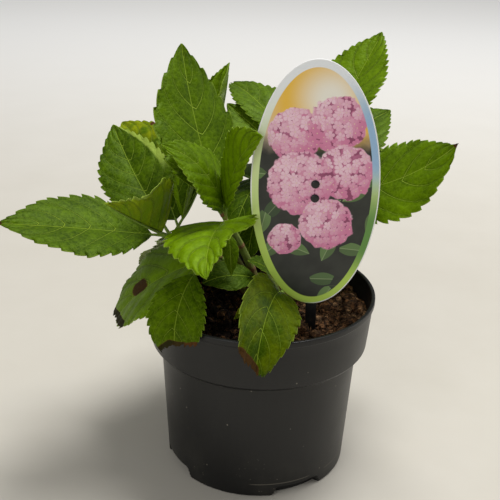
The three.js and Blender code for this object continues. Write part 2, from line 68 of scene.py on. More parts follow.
# Shoots, in millimetres and degrees. Each is one bent line from its foot in the soil to its crown.
# Above the share "split" it belongs to its mass of leaves. A leaf grows from the share "at".
# Tone runs from dark to light, as one number or from foot to tip. Besides each blade's own green it holds
# painted shade and painted light: a blade that lies in shadow gets a darker tone, and a shaded one that
# should read bright gets a lighter one. Yellow starts at "yellow_from".
# Tooth and keen are the length and depth of the teeth against a middling leaf's.
# Slim is how much the left and the right half narrow, and the share of the length from which they do.
# Pale is how pale the underside is, and rim the share across from where a turned edge shows it.
# Spots are dead places: radius, how black they are, and the shares along and across of the points on the
# line that they follow. One point makes a round spot.
# Ends are the shares of the blade's length where it stops, from its left edge to its right edge.
SHOOTS = {
    "left": dict(
        foot=(-7, 8), bend=(-36, 1, 187), crown=(-77, -11, 204), split=0.76, radius=3.4,
        leaves=[
            dict(at=0.96, bearing=199, rise=12, stalk=16, length=120, width=74, droop=4, roll=19,
                 belly=0.46, tone=0.2, tooth=1.3, keen=1.1, spots=[(2.6, 0.5, (1, 0))]),
            dict(at=0.96, bearing=131, rise=33, stalk=22, length=104, width=60, droop=7, sweep=-18, roll=25,
                 tone=0.18, keen=0.9, rim=(1, 0.76)),
            # Painted light: this blade lies in shade, and its full tone and its yellow make it lighter.
            dict(at=0.97, bearing=250, rise=30, stalk=17, length=92, width=80, droop=-6, sweep=-9, roll=-8,
                 fold=62, curl_left=11, belly=0.34, tone=1, yellow=0.45, slim=((0.45, 0.36), (0.8, 0)),
                 pale=0.15, rim=(0.88, 1)),
            dict(at=0.95, bearing=61, rise=32, stalk=19, length=150, width=80, droop=-29, sweep=20, roll=29,
                 fold=53, curl_left=-2, curl_right=3, belly=0.51, tone=0.6, tooth=0.6, keen=0.8,
                 pale=0.25),
            dict(at=0.84, bearing=117, rise=40, stalk=20, length=127, width=80, droop=34, sweep=3, roll=28,
                 tone=(0.05, 0.5), yellow=0.65, yellow_from=0.55, spots=[(2.4, 0.3, (0.78, 0.9))]),
        ],
    ),
    "centre": dict(
        foot=(3, -7), bend=(-10, -13, 192), crown=(-34, -21, 229), split=0.8, radius=3.6,
        leaves=[
            dict(at=0.95, bearing=128, rise=54, stalk=16, length=128, width=79, droop=-5, sweep=-19,
                 roll=-12, fold=4, belly=0.4, tone=0.26, tooth=1.7, keen=1.25),
            dict(at=0.92, bearing=189, rise=78, stalk=8, length=75, width=58, droop=66, sweep=-2, roll=22,
                 fold=7, curl_left=-17, curl_right=-19, belly=0.4, tone=0.42, quilt=1.7, tooth=0.8),
            dict(at=0.92, bearing=-57, rise=83, stalk=10, length=84, width=40, droop=54, sweep=8, roll=-71,
                 fold=12, curl_left=-4, belly=0.41, tone=0.7, quilt=1.7, tooth=0.8,
                 slim=((-0.5, 0.36), (0, 0))),
            dict(at=0.9, bearing=-110, rise=6, stalk=4, length=85, width=74, droop=32, sweep=26, roll=-12,
                 fold=15, curl_left=-6, curl_right=-24, belly=0.39, tone=0.72, quilt=1.9, keen=1.3,
                 slim=((0.46, 0.36), (0, 0))),
            dict(at=0.86, bearing=279, rise=-40, stalk=10, length=32, width=13, droop=38, tone=0.34),
        ],
    ),
    "right": dict(
        foot=(13, 5), bend=(15, 9, 205), crown=(31, 27, 258), split=0.68, radius=3.6,
        leaves=[
            dict(at=0.96, bearing=40, rise=45, stalk=22, length=115, width=71, droop=2, sweep=15, roll=2,
                 fold=20, belly=0.45, tone=0.58, tooth=0.8, keen=1.2),
            dict(at=0.96, bearing=126, rise=40, stalk=18, length=99, width=50, droop=40, roll=8,
                 belly=0.55, tone=0.3, slim=((0.2, 0.1), (0, 0)), keen=1.2,
                 ends=(0.95, 0.96, 0.97, 0.96, 0.95)),
            dict(at=0.93, bearing=147, rise=31, stalk=15, length=73, width=48, droop=10, sweep=-10, roll=26,
                 tone=0.28),
            dict(at=0.76, bearing=45, rise=33, stalk=19, length=112, width=70, droop=27, roll=-14, tone=0.3),
            dict(at=0.76, bearing=-22, rise=8, stalk=24, length=120, width=75, droop=-41, sweep=2, roll=-39,
                 fold=3, curl_left=-14, belly=0.54, tone=0.46, tooth=1.1, ends=(0.93, 1, 1, 1, 1),
                 spots=[(2.4, 0.4, (1, 0))]),
        ],
    ),
    "low_left": dict(
        foot=(-7, -5), bend=(-16, -14, 172), crown=(-36, -14, 190), split=0.78, radius=3,
        leaves=[
            dict(at=0.95, bearing=180, rise=-17, stalk=19, length=110, width=87, droop=58, sweep=-4,
                 roll=13, fold=8, curl_right=-13, belly=0.32, ends=(0.76, 0.78, 0.80, 0.82, 0.84), tone=0.7,
                 spots=[(7.6, 0.6, (0.5, 0.12)), (3.2, 1, (0.83, 1), (0.79, 0.2), (0.71, -0.87))]),
            dict(at=0.93, bearing=241, rise=16, stalk=43, length=82, width=47, droop=146, sweep=12, roll=5,
                 fold=10, curl_left=-17, curl_right=-17, belly=0.48, ends=(0.72, 0.72, 0.74, 0.78, 0.84),
                 tone=0.26, spots=[(4.4, 1, (0.84, 1), (0.75, 0.2)), (3.2, 0.8, (0.75, 0.2), (0.73, -0.5)),
                                   (2.6, 0.2, (0.73, -0.5), (0.7, -1))]),
        ],
    ),
    "low_front": dict(
        foot=(19, -14), bend=(22, -14, 149), crown=(19, -17, 156), split=0.5, radius=3,
        leaves=[
            dict(at=0.92, bearing=259, rise=41, stalk=21, length=114, width=53, droop=150, sweep=-7,
                 roll=37, fold=17, curl_left=-11, curl_right=-2, belly=0.46,
                 ends=(0.86, 0.90, 0.88, 0.82, 0.74),
                 tone=0.08, yellow=0.15, tooth=1.3, keen=0.6,
                 spots=[(3.8, 0.5, (0.75, 1), (0.8, 0.5), (0.84, 0.2)), (2, 0.4, (0.84, 0.2), (0.88, 0))]),
            # Painted shade: this blade lies in shadow, and its tone under the darkest green stands for it.
            dict(at=0.9, bearing=202, rise=47, stalk=30, length=49, width=31, droop=72, sweep=-2, roll=24,
                 fold=8, curl_left=-20, curl_right=-16, belly=0.55, tone=-0.2, keen=0.4),
            dict(at=0.95, bearing=200, rise=73, stalk=24, length=27, width=20, droop=62, sweep=1, roll=22,
                 fold=16, tone=-0.2),
            dict(at=0.8, bearing=206, rise=4, stalk=24, length=24, width=14, droop=38, sweep=3, roll=9,
                 tone=0.4, yellow=0.6),
        ],
    ),
    "back_left": dict(
        foot=(-6, 21), bend=(-22, 30, 176), crown=(-42, 35, 190), split=0.8, radius=3,
        leaves=[
            dict(at=0.94, bearing=150, rise=-26, stalk=22, length=74, width=48, droop=14, roll=-14,
                 tone=0.35),
            dict(at=0.92, bearing=84, rise=-20, stalk=20, length=84, width=54, droop=16, roll=6, tone=0.3),
            dict(at=0.9, bearing=122, rise=-20, stalk=22, length=90, width=56, droop=18, tone=0.4),
        ],
    ),
    "back": dict(
        foot=(7, 21), bend=(5, 36, 196), crown=(4, 62, 236), split=0.78, radius=3.4,
        leaves=[
            dict(at=0.95, bearing=100, rise=30, stalk=20, length=112, width=66, droop=50, roll=8, tone=0.45),
            dict(at=0.95, bearing=20, rise=34, stalk=18, length=92, width=54, droop=44, roll=-10, tone=0.5),
            dict(at=0.86, bearing=62, rise=8, stalk=22, length=108, width=64, droop=46, roll=10, tone=0.35),
            dict(at=0.86, bearing=130, rise=4, stalk=22, length=104, width=62, droop=36, roll=-8, tone=0.4),
            # Painted shade: these two blades hang forward in shadow, and their low tones stand for it.
            dict(at=0.9, bearing=257, rise=-11, stalk=16, length=69, width=40, droop=60, sweep=-3,
                 tone=0.06),
            dict(at=0.98, bearing=247, rise=3, stalk=12, length=79, width=44, droop=66, sweep=4, roll=-17,
                 tone=0.1),
        ],
    ),
    "back_right": dict(
        foot=(20, 18), bend=(33, 28, 172), crown=(50, 34, 194), split=0.78, radius=3,
        leaves=[
            dict(at=0.95, bearing=28, rise=36, stalk=18, length=84, width=50, droop=34, roll=8, tone=0.45),
            dict(at=0.95, bearing=84, rise=6, stalk=20, length=96, width=56, droop=38, roll=-6, tone=0.35),
            dict(at=0.9, bearing=60, rise=24, stalk=18, length=84, width=50, droop=40, roll=-10, tone=0.4),
        ],
    ),
}
PLAIN_LEAF = dict(
    stalk=18, droop=35, sweep=0, roll=0, fold=13, curl_left=-15, curl_right=-15, belly=0.42,
    ends=(1, 1, 1, 1, 1), tone=0.4, yellow=0, yellow_from=0, quilt=1, tooth=1, keen=1,
    slim=((0, 0), (0, 0)), spots=(), pale=0.7, rim=(1, 1),
)

# The rule of growth, as the solids have it
FOOT_LIFT = 0.3
FOOT_FLARE = 1.5
FLARE_FADE = 6
STEM_TAPER = 0.75
CROWN_TIP_RADIUS = 1.2
STALK_RADIUS = 1.5
STALK_TAPER = 0.7
DROOP_POWER = 1.4
FULLNESS = 0.85
TIP_THINNING = 0.15
HEEL_HALF_WIDTH = 1.2
TIP_HALF_WIDTH = 0.3
CURVE_STEPS = 160
TINY = 1e-12


def paint(red, green, blue):
    """A colour given as screen bytes, turned into the linear values that shaders use."""
    share = np.array([red, green, blue]) / 255
    linear = np.where(share <= 0.04045, share / 12.92, ((share + 0.055) / 1.055) ** 2.4)
    return tuple(float(value) for value in linear)


def length_of(name, description, millimetres):
    """A length to change in the panel."""
    return bpy.props.FloatProperty(
        name=name, description=description, default=millimetres * MM, precision=5, unit="LENGTH",
        subtype="DISTANCE")


def colour_of(name, description, red, green, blue):
    """A colour to change in the panel."""
    return bpy.props.FloatVectorProperty(
        name=name, description=description, default=paint(red, green, blue), size=3, min=0, max=1,
        subtype="COLOR")


def count_of(name, description, number):
    """A whole number to change in the panel."""
    return bpy.props.IntProperty(name=name, description=description, default=number, min=1)


class PotLook(bpy.types.PropertyGroup):
    collar_foot: length_of("Collar foot", "Height where the collar steps out", 112)
    collar_foot_radius: length_of("Collar foot radius", "Outside radius of the collar's lower edge", 90.5)
    body_top_radius: length_of("Body top radius", "Outside radius of the body just under the collar", 82.5)
    base_radius: length_of("Base radius", "Outside radius at the foot", 76.5)
    wall: length_of("Wall", "Thickness of the moulded wall", 1.8)
    lip_height: length_of("Lip height", "Height of the rolled lip", 5)
    lip_out: length_of("Lip out", "How far the lip stands out of the collar", 1.2)
    notch_height: length_of("Notch height", "Height of the drainage notches", 9)
    notch_depth: length_of("Notch depth", "How far a drainage notch goes in", 5.5)
    notches: count_of("Notches", "Drainage notches round the foot", 4)
    plastic: colour_of("Plastic", "Colour of the pot", 10, 10, 10)
    dust: colour_of("Dust", "Colour of the dust on the pot", 150, 144, 130)


class PeatLook(bpy.types.PropertyGroup):
    relief: length_of("Relief", "How far the peat rises and falls", 2.8)
    crumbs: count_of("Crumbs", "Crumbs of peat lying on top", 1000)
    fibres: count_of("Fibres", "Fibres lying on top", 1500)
    crumb_size: length_of("Crumb size", "Radius of a middling crumb", 2.6)
    largest_crumb: length_of("Largest crumb", "Radius of the largest lumps", 6.6)
    fibre_length: length_of("Fibre length", "Length of a middling fibre", 9)
    dark: colour_of("Dark peat", "Colour of the damp peat", 34, 20, 12)
    red: colour_of("Red peat", "Colour of the dry fibrous peat", 124, 86, 54)
    pale: colour_of("Pale fibre", "Colour of the palest fibres", 168, 130, 92)


class StemLook(bpy.types.PropertyGroup):
    ridge: length_of("Ridge", "Height of the ribs along a stem", 0.16)
    joint_gap: length_of("Joint gap", "Distance between the joints of a stem", 24)
    joint_swell: length_of("Joint swell", "How far a joint stands out of its stem", 0.5)
    green: colour_of("Green bark", "Colour of the young bark", 104, 122, 44)
    brown: colour_of("Brown bark", "Colour of the old bark at the foot", 110, 78, 44)
    stalk: colour_of("Stalk", "Colour of the leaf stalks", 112, 138, 48)
    blush: colour_of("Blush", "Reddish colour at the joints of the stalks", 120, 78, 48)


class LeafLook(bpy.types.PropertyGroup):
    thickness: length_of("Thickness", "Thickness of a blade", 0.45)
    tooth: length_of("Tooth", "Length of a middling tooth of the margin", 8)
    tooth_depth: length_of("Tooth depth", "How far a tooth stands out", 3.2)
    quilt: length_of("Quilt", "How far the blade bulges between its side veins", 0.8)
    wave: length_of("Wave", "How far the margin waves up and down", 1.1)
    vein_pairs: count_of("Vein pairs", "Pairs of side veins on a blade", 6)
    deep: colour_of("Deep green", "Colour of the darkest blades", 40, 62, 0)
    bright: colour_of("Bright green", "Colour of the lightest blades", 118, 152, 0)
    yellow: colour_of("Yellow green", "Colour of an ageing blade", 152, 156, 6)
    vein: colour_of("Vein", "Colour of the veins", 144, 168, 52)
    under: colour_of("Underside", "Colour of the underside", 140, 160, 66)
    brown: colour_of("Scorch", "Colour at the edge of a dead place", 86, 46, 28)
    black: colour_of("Dead", "Colour in the middle of a dead place", 36, 26, 18)


class LabelLook(bpy.types.PropertyGroup):
    border: length_of("Border", "Width of the plain border round the picture", 6)
    edge: length_of("Edge", "Width of the white edge", 0.8)
    blossom: length_of("Blossom", "Distance between the printed blossoms", 6.4)
    petal: colour_of("Petal", "Colour of the printed petals in the light", 252, 214, 228)
    petal_deep: colour_of("Deep petal", "Colour of the printed petals in the shade", 222, 134, 172)
    gap: colour_of("Gap", "Colour in the gaps between the printed petals", 154, 76, 112)
    glow: colour_of("Glow", "Warm colour in the picture", 250, 200, 70)
    ground: colour_of("Ground", "Dark colour behind the printed leaves", 54, 57, 51)
    sprig: colour_of("Sprig", "Colour of the printed leaves", 112, 142, 84)
    sky: colour_of("Sky", "Colour of the border's upper part", 248, 252, 255)
    meadow: colour_of("Meadow", "Colour of the border's lower part", 190, 222, 92)
    haze: colour_of("Haze", "Colour of the border's left side", 226, 240, 182)
    shade: colour_of("Shade", "Colour of the border's upper right side", 162, 198, 232)
    hedge: colour_of("Hedge", "Colour of the border's lower right side", 104, 152, 74)
    stick: colour_of("Stick", "Colour of the stick and its pegs", 22, 22, 23)


class StageLook(bpy.types.PropertyGroup):
    floor: colour_of("Floor", "Colour of the floor", 208, 203, 192)
    room: colour_of("Room", "Colour of the light from all round", 230, 230, 230)
    room_strength: bpy.props.FloatProperty(
        name="Room strength", description="Strength of the light from all round", default=0.31, min=0)
    lamp_power: bpy.props.FloatProperty(
        name="Lamp power", description="Power of the big soft lamp overhead", default=84, min=0,
        unit="POWER")
    fill_power: bpy.props.FloatProperty(
        name="Fill power", description="Power of the soft lamp in front", default=9, min=0, unit="POWER")
    side_power: bpy.props.FloatProperty(
        name="Side power", description="Power of the soft lamp at the right", default=6, min=0,
        unit="POWER")
    camera_height: length_of("Camera height", "Height of the camera over the floor", 511.6)
    camera_distance: length_of("Camera distance", "Distance of the camera in front of the pot", 735.6)
    camera_side: length_of("Camera side", "How far the camera stands to the right", -9.9)
    camera_pitch: bpy.props.FloatProperty(
        name="Camera pitch", description="How far the camera looks down", default=math.radians(23.73),
        unit="ROTATION", subtype="ANGLE")
    camera_roll: bpy.props.FloatProperty(
        name="Camera roll", description="How far the camera leans", default=math.radians(1.75),
        unit="ROTATION", subtype="ANGLE")
    lens: bpy.props.FloatProperty(
        name="Lens", description="Focal length on a 36 mm sensor, in millimetres", default=70.7, min=1)


class HydrangeaLook(bpy.types.PropertyGroup):
    pot: bpy.props.PointerProperty(name="Pot", description="The nursery pot", type=PotLook)
    peat: bpy.props.PointerProperty(name="Peat", description="The peat in the pot", type=PeatLook)
    stem: bpy.props.PointerProperty(name="Stems", description="Stems and stalks", type=StemLook)
    leaf: bpy.props.PointerProperty(name="Leaves", description="The blades", type=LeafLook)
    label: bpy.props.PointerProperty(name="Label", description="The picture label", type=LabelLook)
    stage: bpy.props.PointerProperty(name="Stage", description="Floor, light and camera", type=StageLook)


class Number:
    """A number in a shader. Python's own operators on it add the Math nodes that they need."""

    def __init__(self, finish, socket):
        self.finish = finish
        self.socket = socket

    def reckon(self, operation, *others):
        """A Math node on this number and any others."""
        values = dict(enumerate((self, *others)))
        return self.finish.node("ShaderNodeMath", {"operation": operation}, values, 0)

    def other(self, output):
        """Another output of the node that this number comes from."""
        return Number(self.finish, self.socket.node.outputs[output])

    def __add__(self, value):
        return self.reckon("ADD", value)

    def __sub__(self, value):
        return self.reckon("SUBTRACT", value)

    def __rsub__(self, value):
        return self.finish.node("ShaderNodeMath", {"operation": "SUBTRACT"}, {0: value, 1: self}, 0)

    def __mul__(self, value):
        return self.reckon("MULTIPLY", value)

    def __truediv__(self, value):
        return self.reckon("DIVIDE", value)

    def __pow__(self, value):
        return self.reckon("POWER", value)

    def __abs__(self):
        return self.reckon("ABSOLUTE")

    __radd__ = __add__
    __rmul__ = __mul__


class Finish:
    """A material being mixed. Every node but a Math node made by an operator comes from node()."""

    def __init__(self, name, **uniform):
        self.material = bpy.data.materials.new(name)
        self.material.use_nodes = True
        self.tree = self.material.node_tree
        self.shader = self.tree.nodes["Principled BSDF"]
        for socket, value in uniform.items():
            self.shader.inputs[socket.replace("_", " ")].default_value = value

    def node(self, kind, settings, values, output):
        """Adds a node with its settings and what goes into it, and gives the named output."""
        made = self.tree.nodes.new(kind)
        for setting, value in settings.items():
            setattr(made, setting, value)
        for socket, value in values.items():
            self.join(value, made.inputs[socket])
        return Number(self, made.outputs[output])

    def join(self, value, socket):
        """Links a number to a socket, or sets the socket to a plain value."""
        if isinstance(value, Number):
            self.tree.links.new(value.socket, socket)
        elif socket.type == "RGBA":
            socket.default_value = (*value, 1)
        else:
            socket.default_value = value

    def feed(self, socket, value):
        """Gives the surface shader one of its inputs."""
        self.join(value, self.shader.inputs[socket])

    def place(self):
        """Where each point is, in metres."""
        return self.node("ShaderNodeTexCoord", {}, {}, "Object")

    def mark(self, name, output="Fac"):
        """What the piece's mesh says at each point under that name."""
        return self.node("ShaderNodeAttribute", {"attribute_name": name}, {}, output)

    def parts(self, vector):
        """The three numbers of a vector or colour."""
        first = self.node("ShaderNodeSeparateXYZ", {}, {0: vector}, 0)
        return first, first.other(1), first.other(2)

    def vector(self, x, y, z):
        return self.node("ShaderNodeCombineXYZ", {}, {0: x, 1: y, 2: z}, 0)

    def noise(self, vector, size, detail):
        """Cloudy noise, about 0.5 in the mean, whose patches are about size."""
        values = {"Vector": vector, "Scale": 1 / size, "Detail": detail}
        return self.node("ShaderNodeTexNoise", {}, values, 0)

    def cells(self, vector, size, feature="F1"):
        """How far each point lies from the middle or the edge of its cell, in cells of about size."""
        values = {"Vector": vector, "Scale": 1 / size}
        return self.node("ShaderNodeTexVoronoi", {"feature": feature}, values, "Distance")

    def ease(self, value, start, end):
        """0 before start and 1 after end, with a smooth way between. Start may be past end."""
        settings = {"interpolation_type": "SMOOTHSTEP"}
        values = {"Value": value, "From Min": start, "From Max": end}
        return self.node("ShaderNodeMapRange", settings, values, "Result")

    def blend(self, share, first, second):
        """A colour the given share of the way from the first to the second."""
        return self.node("ShaderNodeMix", {"data_type": "RGBA"}, {0: share, 6: first, 7: second}, 2)

    def stretch(self, vector, scale):
        """A vector with each of its numbers multiplied. A small factor draws a pattern out that way."""
        values = {0: vector, 1: scale}
        return self.node("ShaderNodeVectorMath", {"operation": "MULTIPLY"}, values, 0)

    def emboss(self, height, depth, strength):
        """Relief in the shading alone, with its depth in metres."""
        values = {"Height": height, "Distance": depth, "Strength": strength}
        self.feed("Normal", self.node("ShaderNodeBump", {}, values, 0))


class Shape:
    """One piece's points, faces and marks, gathered part by part as whole arrays."""

    def __init__(self):
        self.points = []
        self.faces = []
        self.marks = {}
        self.count = 0

    def add(self, points, faces, **marks):
        """Adds points, arrays of faces that number them from 0, and marks with one value a point."""
        points = np.asarray(points, float).reshape(-1, 3)
        for corners in faces:
            self.faces.extend((np.asarray(corners) + self.count).tolist())
        for name, values in marks.items():
            values = np.asarray(values, float)
            width = 3 if values.ndim > 1 and values.shape[-1] == 3 else 1
            self.marks.setdefault(name, []).append(values.reshape(len(points), width))
        self.points.append(points)
        self.count += len(points)

    def piece(self, name, finish, slot, stands_for, smooth=True):
        """Makes the mesh, which rides on the plant and stands for one of its solids."""
        mesh = bpy.data.meshes.new(name)
        mesh.from_pydata(np.concatenate(self.points).tolist(), [], self.faces)
        for mark, values in self.marks.items():
            values = np.concatenate(values)
            kind, field = ("FLOAT_VECTOR", "vector") if values.shape[1] == 3 else ("FLOAT", "value")
            attribute = mesh.attributes.new(mark, kind, "POINT")
            attribute.data.foreach_set(field, values.astype(np.float32).ravel())
        mesh.polygons.foreach_set("use_smooth", [smooth] * len(mesh.polygons))
        mesh.materials.append(finish.material)
        if mesh.validate():
            raise RuntimeError(f"{name} has faces that its mesh can't hold")
        mesh.update()
        made = bpy.data.objects.new(name, mesh)
        bpy.context.scene.collection.objects.link(made)
        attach(made, "root")
        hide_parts(stands_for)
        return made


def quads(rows, columns, wrap=False):
    """Corners of the quads of a grid whose points are numbered row by row. Wrap joins its last column to
    its first one."""
    row = np.arange(rows - 1)[:, None] * columns
    column = np.arange(columns if wrap else columns - 1)[None, :]
    following = (column + 1) % columns
    above = row + columns
    corners = np.broadcast_arrays(row + column, row + following, above + following, above + column)
    return np.stack(corners, -1).reshape(-1, 4)


def closed_tube(rows, sides):
    """Faces of rings joined one to the next, with a fan to a middle point at either end. The two middle
    points come after the rings."""
    side = np.arange(sides)
    following = (side + 1) % sides
    low = np.full(sides, rows * sides)
    top = (rows - 1) * sides
    first = np.stack([low, following, side], 1)
    last = np.stack([low + 1, top + side, top + following], 1)
    return [quads(rows, sides, wrap=True), first, last]


def add_tube(shape, rings, **marks):
    """Adds a closed tube through rings, an array of rows by sides by three. A mark has one value a ring
    point, and its mean over the end ring is the value at the middle of that end."""
    rows, sides = rings.shape[:2]
    ends = np.stack([rings[0].mean(0), rings[-1].mean(0)])
    points = np.concatenate([rings.reshape(-1, 3), ends])
    spread = {}
    for name, values in marks.items():
        values = values.reshape(rows * sides, -1)
        both = np.stack([values[:sides].mean(0), values[-sides:].mean(0)])
        spread[name] = np.concatenate([values, both])
    shape.add(points, closed_tube(rows, sides), **spread)


def unit(vectors):
    """Each vector at length 1."""
    return vectors / np.linalg.norm(vectors, axis=-1, keepdims=True)


def ease(value, start, end):
    """0 before start and 1 after end, with a smooth way between."""
    share = np.clip((value - start) / (end - start), 0, 1)
    return share * share * (3 - 2 * share)


def ripple(points, size, seed, waves=14):
    """Smooth roughness between about -1 and 1: the sum of sine waves whose length is about size, each
    with a seeded direction and start."""
    chance = np.random.default_rng(seed)
    directions = unit(chance.normal(size=(waves, points.shape[-1])))
    lengths = size * chance.uniform(0.6, 1.6, waves)
    starts = chance.uniform(0, TURN, waves)
    angles = points @ (directions / lengths[:, None]).T * TURN + starts
    return np.sin(angles).sum(-1) / math.sqrt(waves / 2) / 2


def shoot_line(shoot, share):
    """Points of a shoot: (1 - t)^2 of its foot, 2 t (1 - t) of its bend and t^2 of its crown. Also the
    direction at each point."""
    foot = np.array([*shoot["foot"], SOIL_TOP / MM + FOOT_LIFT])
    bend = np.array(shoot["bend"], float)
    crown = np.array(shoot["crown"], float)
    t = np.asarray(share, float)[..., None]
    place = (1 - t) ** 2 * foot + 2 * t * (1 - t) * bend + t ** 2 * crown
    along = unit((1 - t) * (bend - foot) + t * (crown - bend))
    return place * MM, along


def limb_rings(shoot, shares, radii, sides):
    """Rings about a shoot's line. The radii are rows by sides."""
    place, along = shoot_line(shoot, shares)
    guide = np.array([1.0, 0.0, 0.0])
    across = unit(guide - along * (along @ guide)[..., None])
    up = np.cross(along, across)
    turn = TURN * np.arange(sides) / sides
    spoke = np.cos(turn)[:, None] * across[:, None] + np.sin(turn)[:, None] * up[:, None]
    return place[:, None] + spoke * radii[..., None]


def leaf_line(leaf, heel):
    """A function from the distance along a leaf, stalk and midrib in one, to place, along and across.
    The slope falls from rise by droop times a power of the share of the way."""
    total = (leaf["stalk"] + leaf["length"]) * MM
    share = np.linspace(0, 1, CURVE_STEPS + 1)
    slope = np.radians(leaf["rise"] - leaf["droop"] * share ** DROOP_POWER)
    bearing = np.radians(leaf["bearing"] + leaf["sweep"] * share)
    along = np.stack([np.cos(slope) * np.cos(bearing), np.cos(slope) * np.sin(bearing), np.sin(slope)], -1)
    across = np.stack([np.sin(bearing), -np.cos(bearing), np.zeros_like(bearing)], -1)
    strides = (along[1:] + along[:-1]) * total / CURVE_STEPS / 2
    places = heel + np.concatenate([np.zeros((1, 3)), np.cumsum(strides, 0)])

    def at(distance):
        where = np.asarray(distance) / total
        read = [np.stack([np.interp(where, share, track[:, axis]) for axis in range(3)], -1)
                for track in (places, along, across)]
        beyond = np.clip(where - 1, 0, None)[..., None] * total
        return read[0] + beyond * read[1], unit(read[1]), unit(read[2])

    return at


def half_width(leaf, u):
    """Half the blade's width at the share u of its length: a sine of a power of u that puts the widest
    place at belly, thinned towards the tip."""
    skew = math.log(0.5) / math.log(leaf["belly"])
    inside = np.clip(u, 0, 1)
    belly = np.maximum(np.sin(math.pi * inside ** skew), 0) ** FULLNESS
    least = np.where(inside < 0.5, HEEL_HALF_WIDTH, TIP_HALF_WIDTH)
    return np.maximum(leaf["width"] / 2 * belly * (1 - TIP_THINNING * inside ** 3), least) * MM


HEEL_ROWS = 5
TOOTHLESS = 0.09
TOOTH_ROWS = (0, 0.18, 0.42, 0.68, 0.9)
TOOTH_CROWDING = 1.12
TOOTH_LEAN = 0.15
TOOTH_BASE = 0.6
FEWEST_TEETH = 5
TOOTH_SWAY = 0.3
BLADE_COLUMNS = 15
EDGE_CROWDING = 0.86
VEIN_SLANT = 0.22
VEIN_BEND = 0.15
SLIM_WAY = 0.24
MIDRIB_SINK = 0.35
MIDRIB_SHARE = 0.06
FULL_WIDTH = 60
RAGGEDNESS = 0.012
VEIN_START = 0.45
VEIN_OFFSET = 0.22
DEEPEST_TOOTH = 0.3


def tooth_rows(leaf, look):
    """The rows of a blade: their shares of its length, how far along its tooth each row lies, and the
    tooth that it is on. Teeth get a little shorter towards the tip."""
    teeth = max(round(leaf["length"] * MM / (look.tooth * leaf["tooth"])), FEWEST_TEETH)
    heel = TOOTHLESS * (1 - np.cos(np.linspace(0, math.pi / 2, HEEL_ROWS, endpoint=False)))
    phase = np.tile(TOOTH_ROWS, teeth)
    tooth = np.repeat(np.arange(teeth), len(TOOTH_ROWS))
    share = TOOTHLESS + (1 - TOOTHLESS) * (1 - (1 - (tooth + phase) / teeth) ** TOOTH_CROWDING)
    u = np.concatenate([heel, share, [1]])
    phase = np.concatenate([np.full(HEEL_ROWS, 0.5), phase, [0.5]])
    tooth = np.concatenate([np.zeros(HEEL_ROWS, int), tooth, [teeth]])
    return u, phase, tooth, teeth


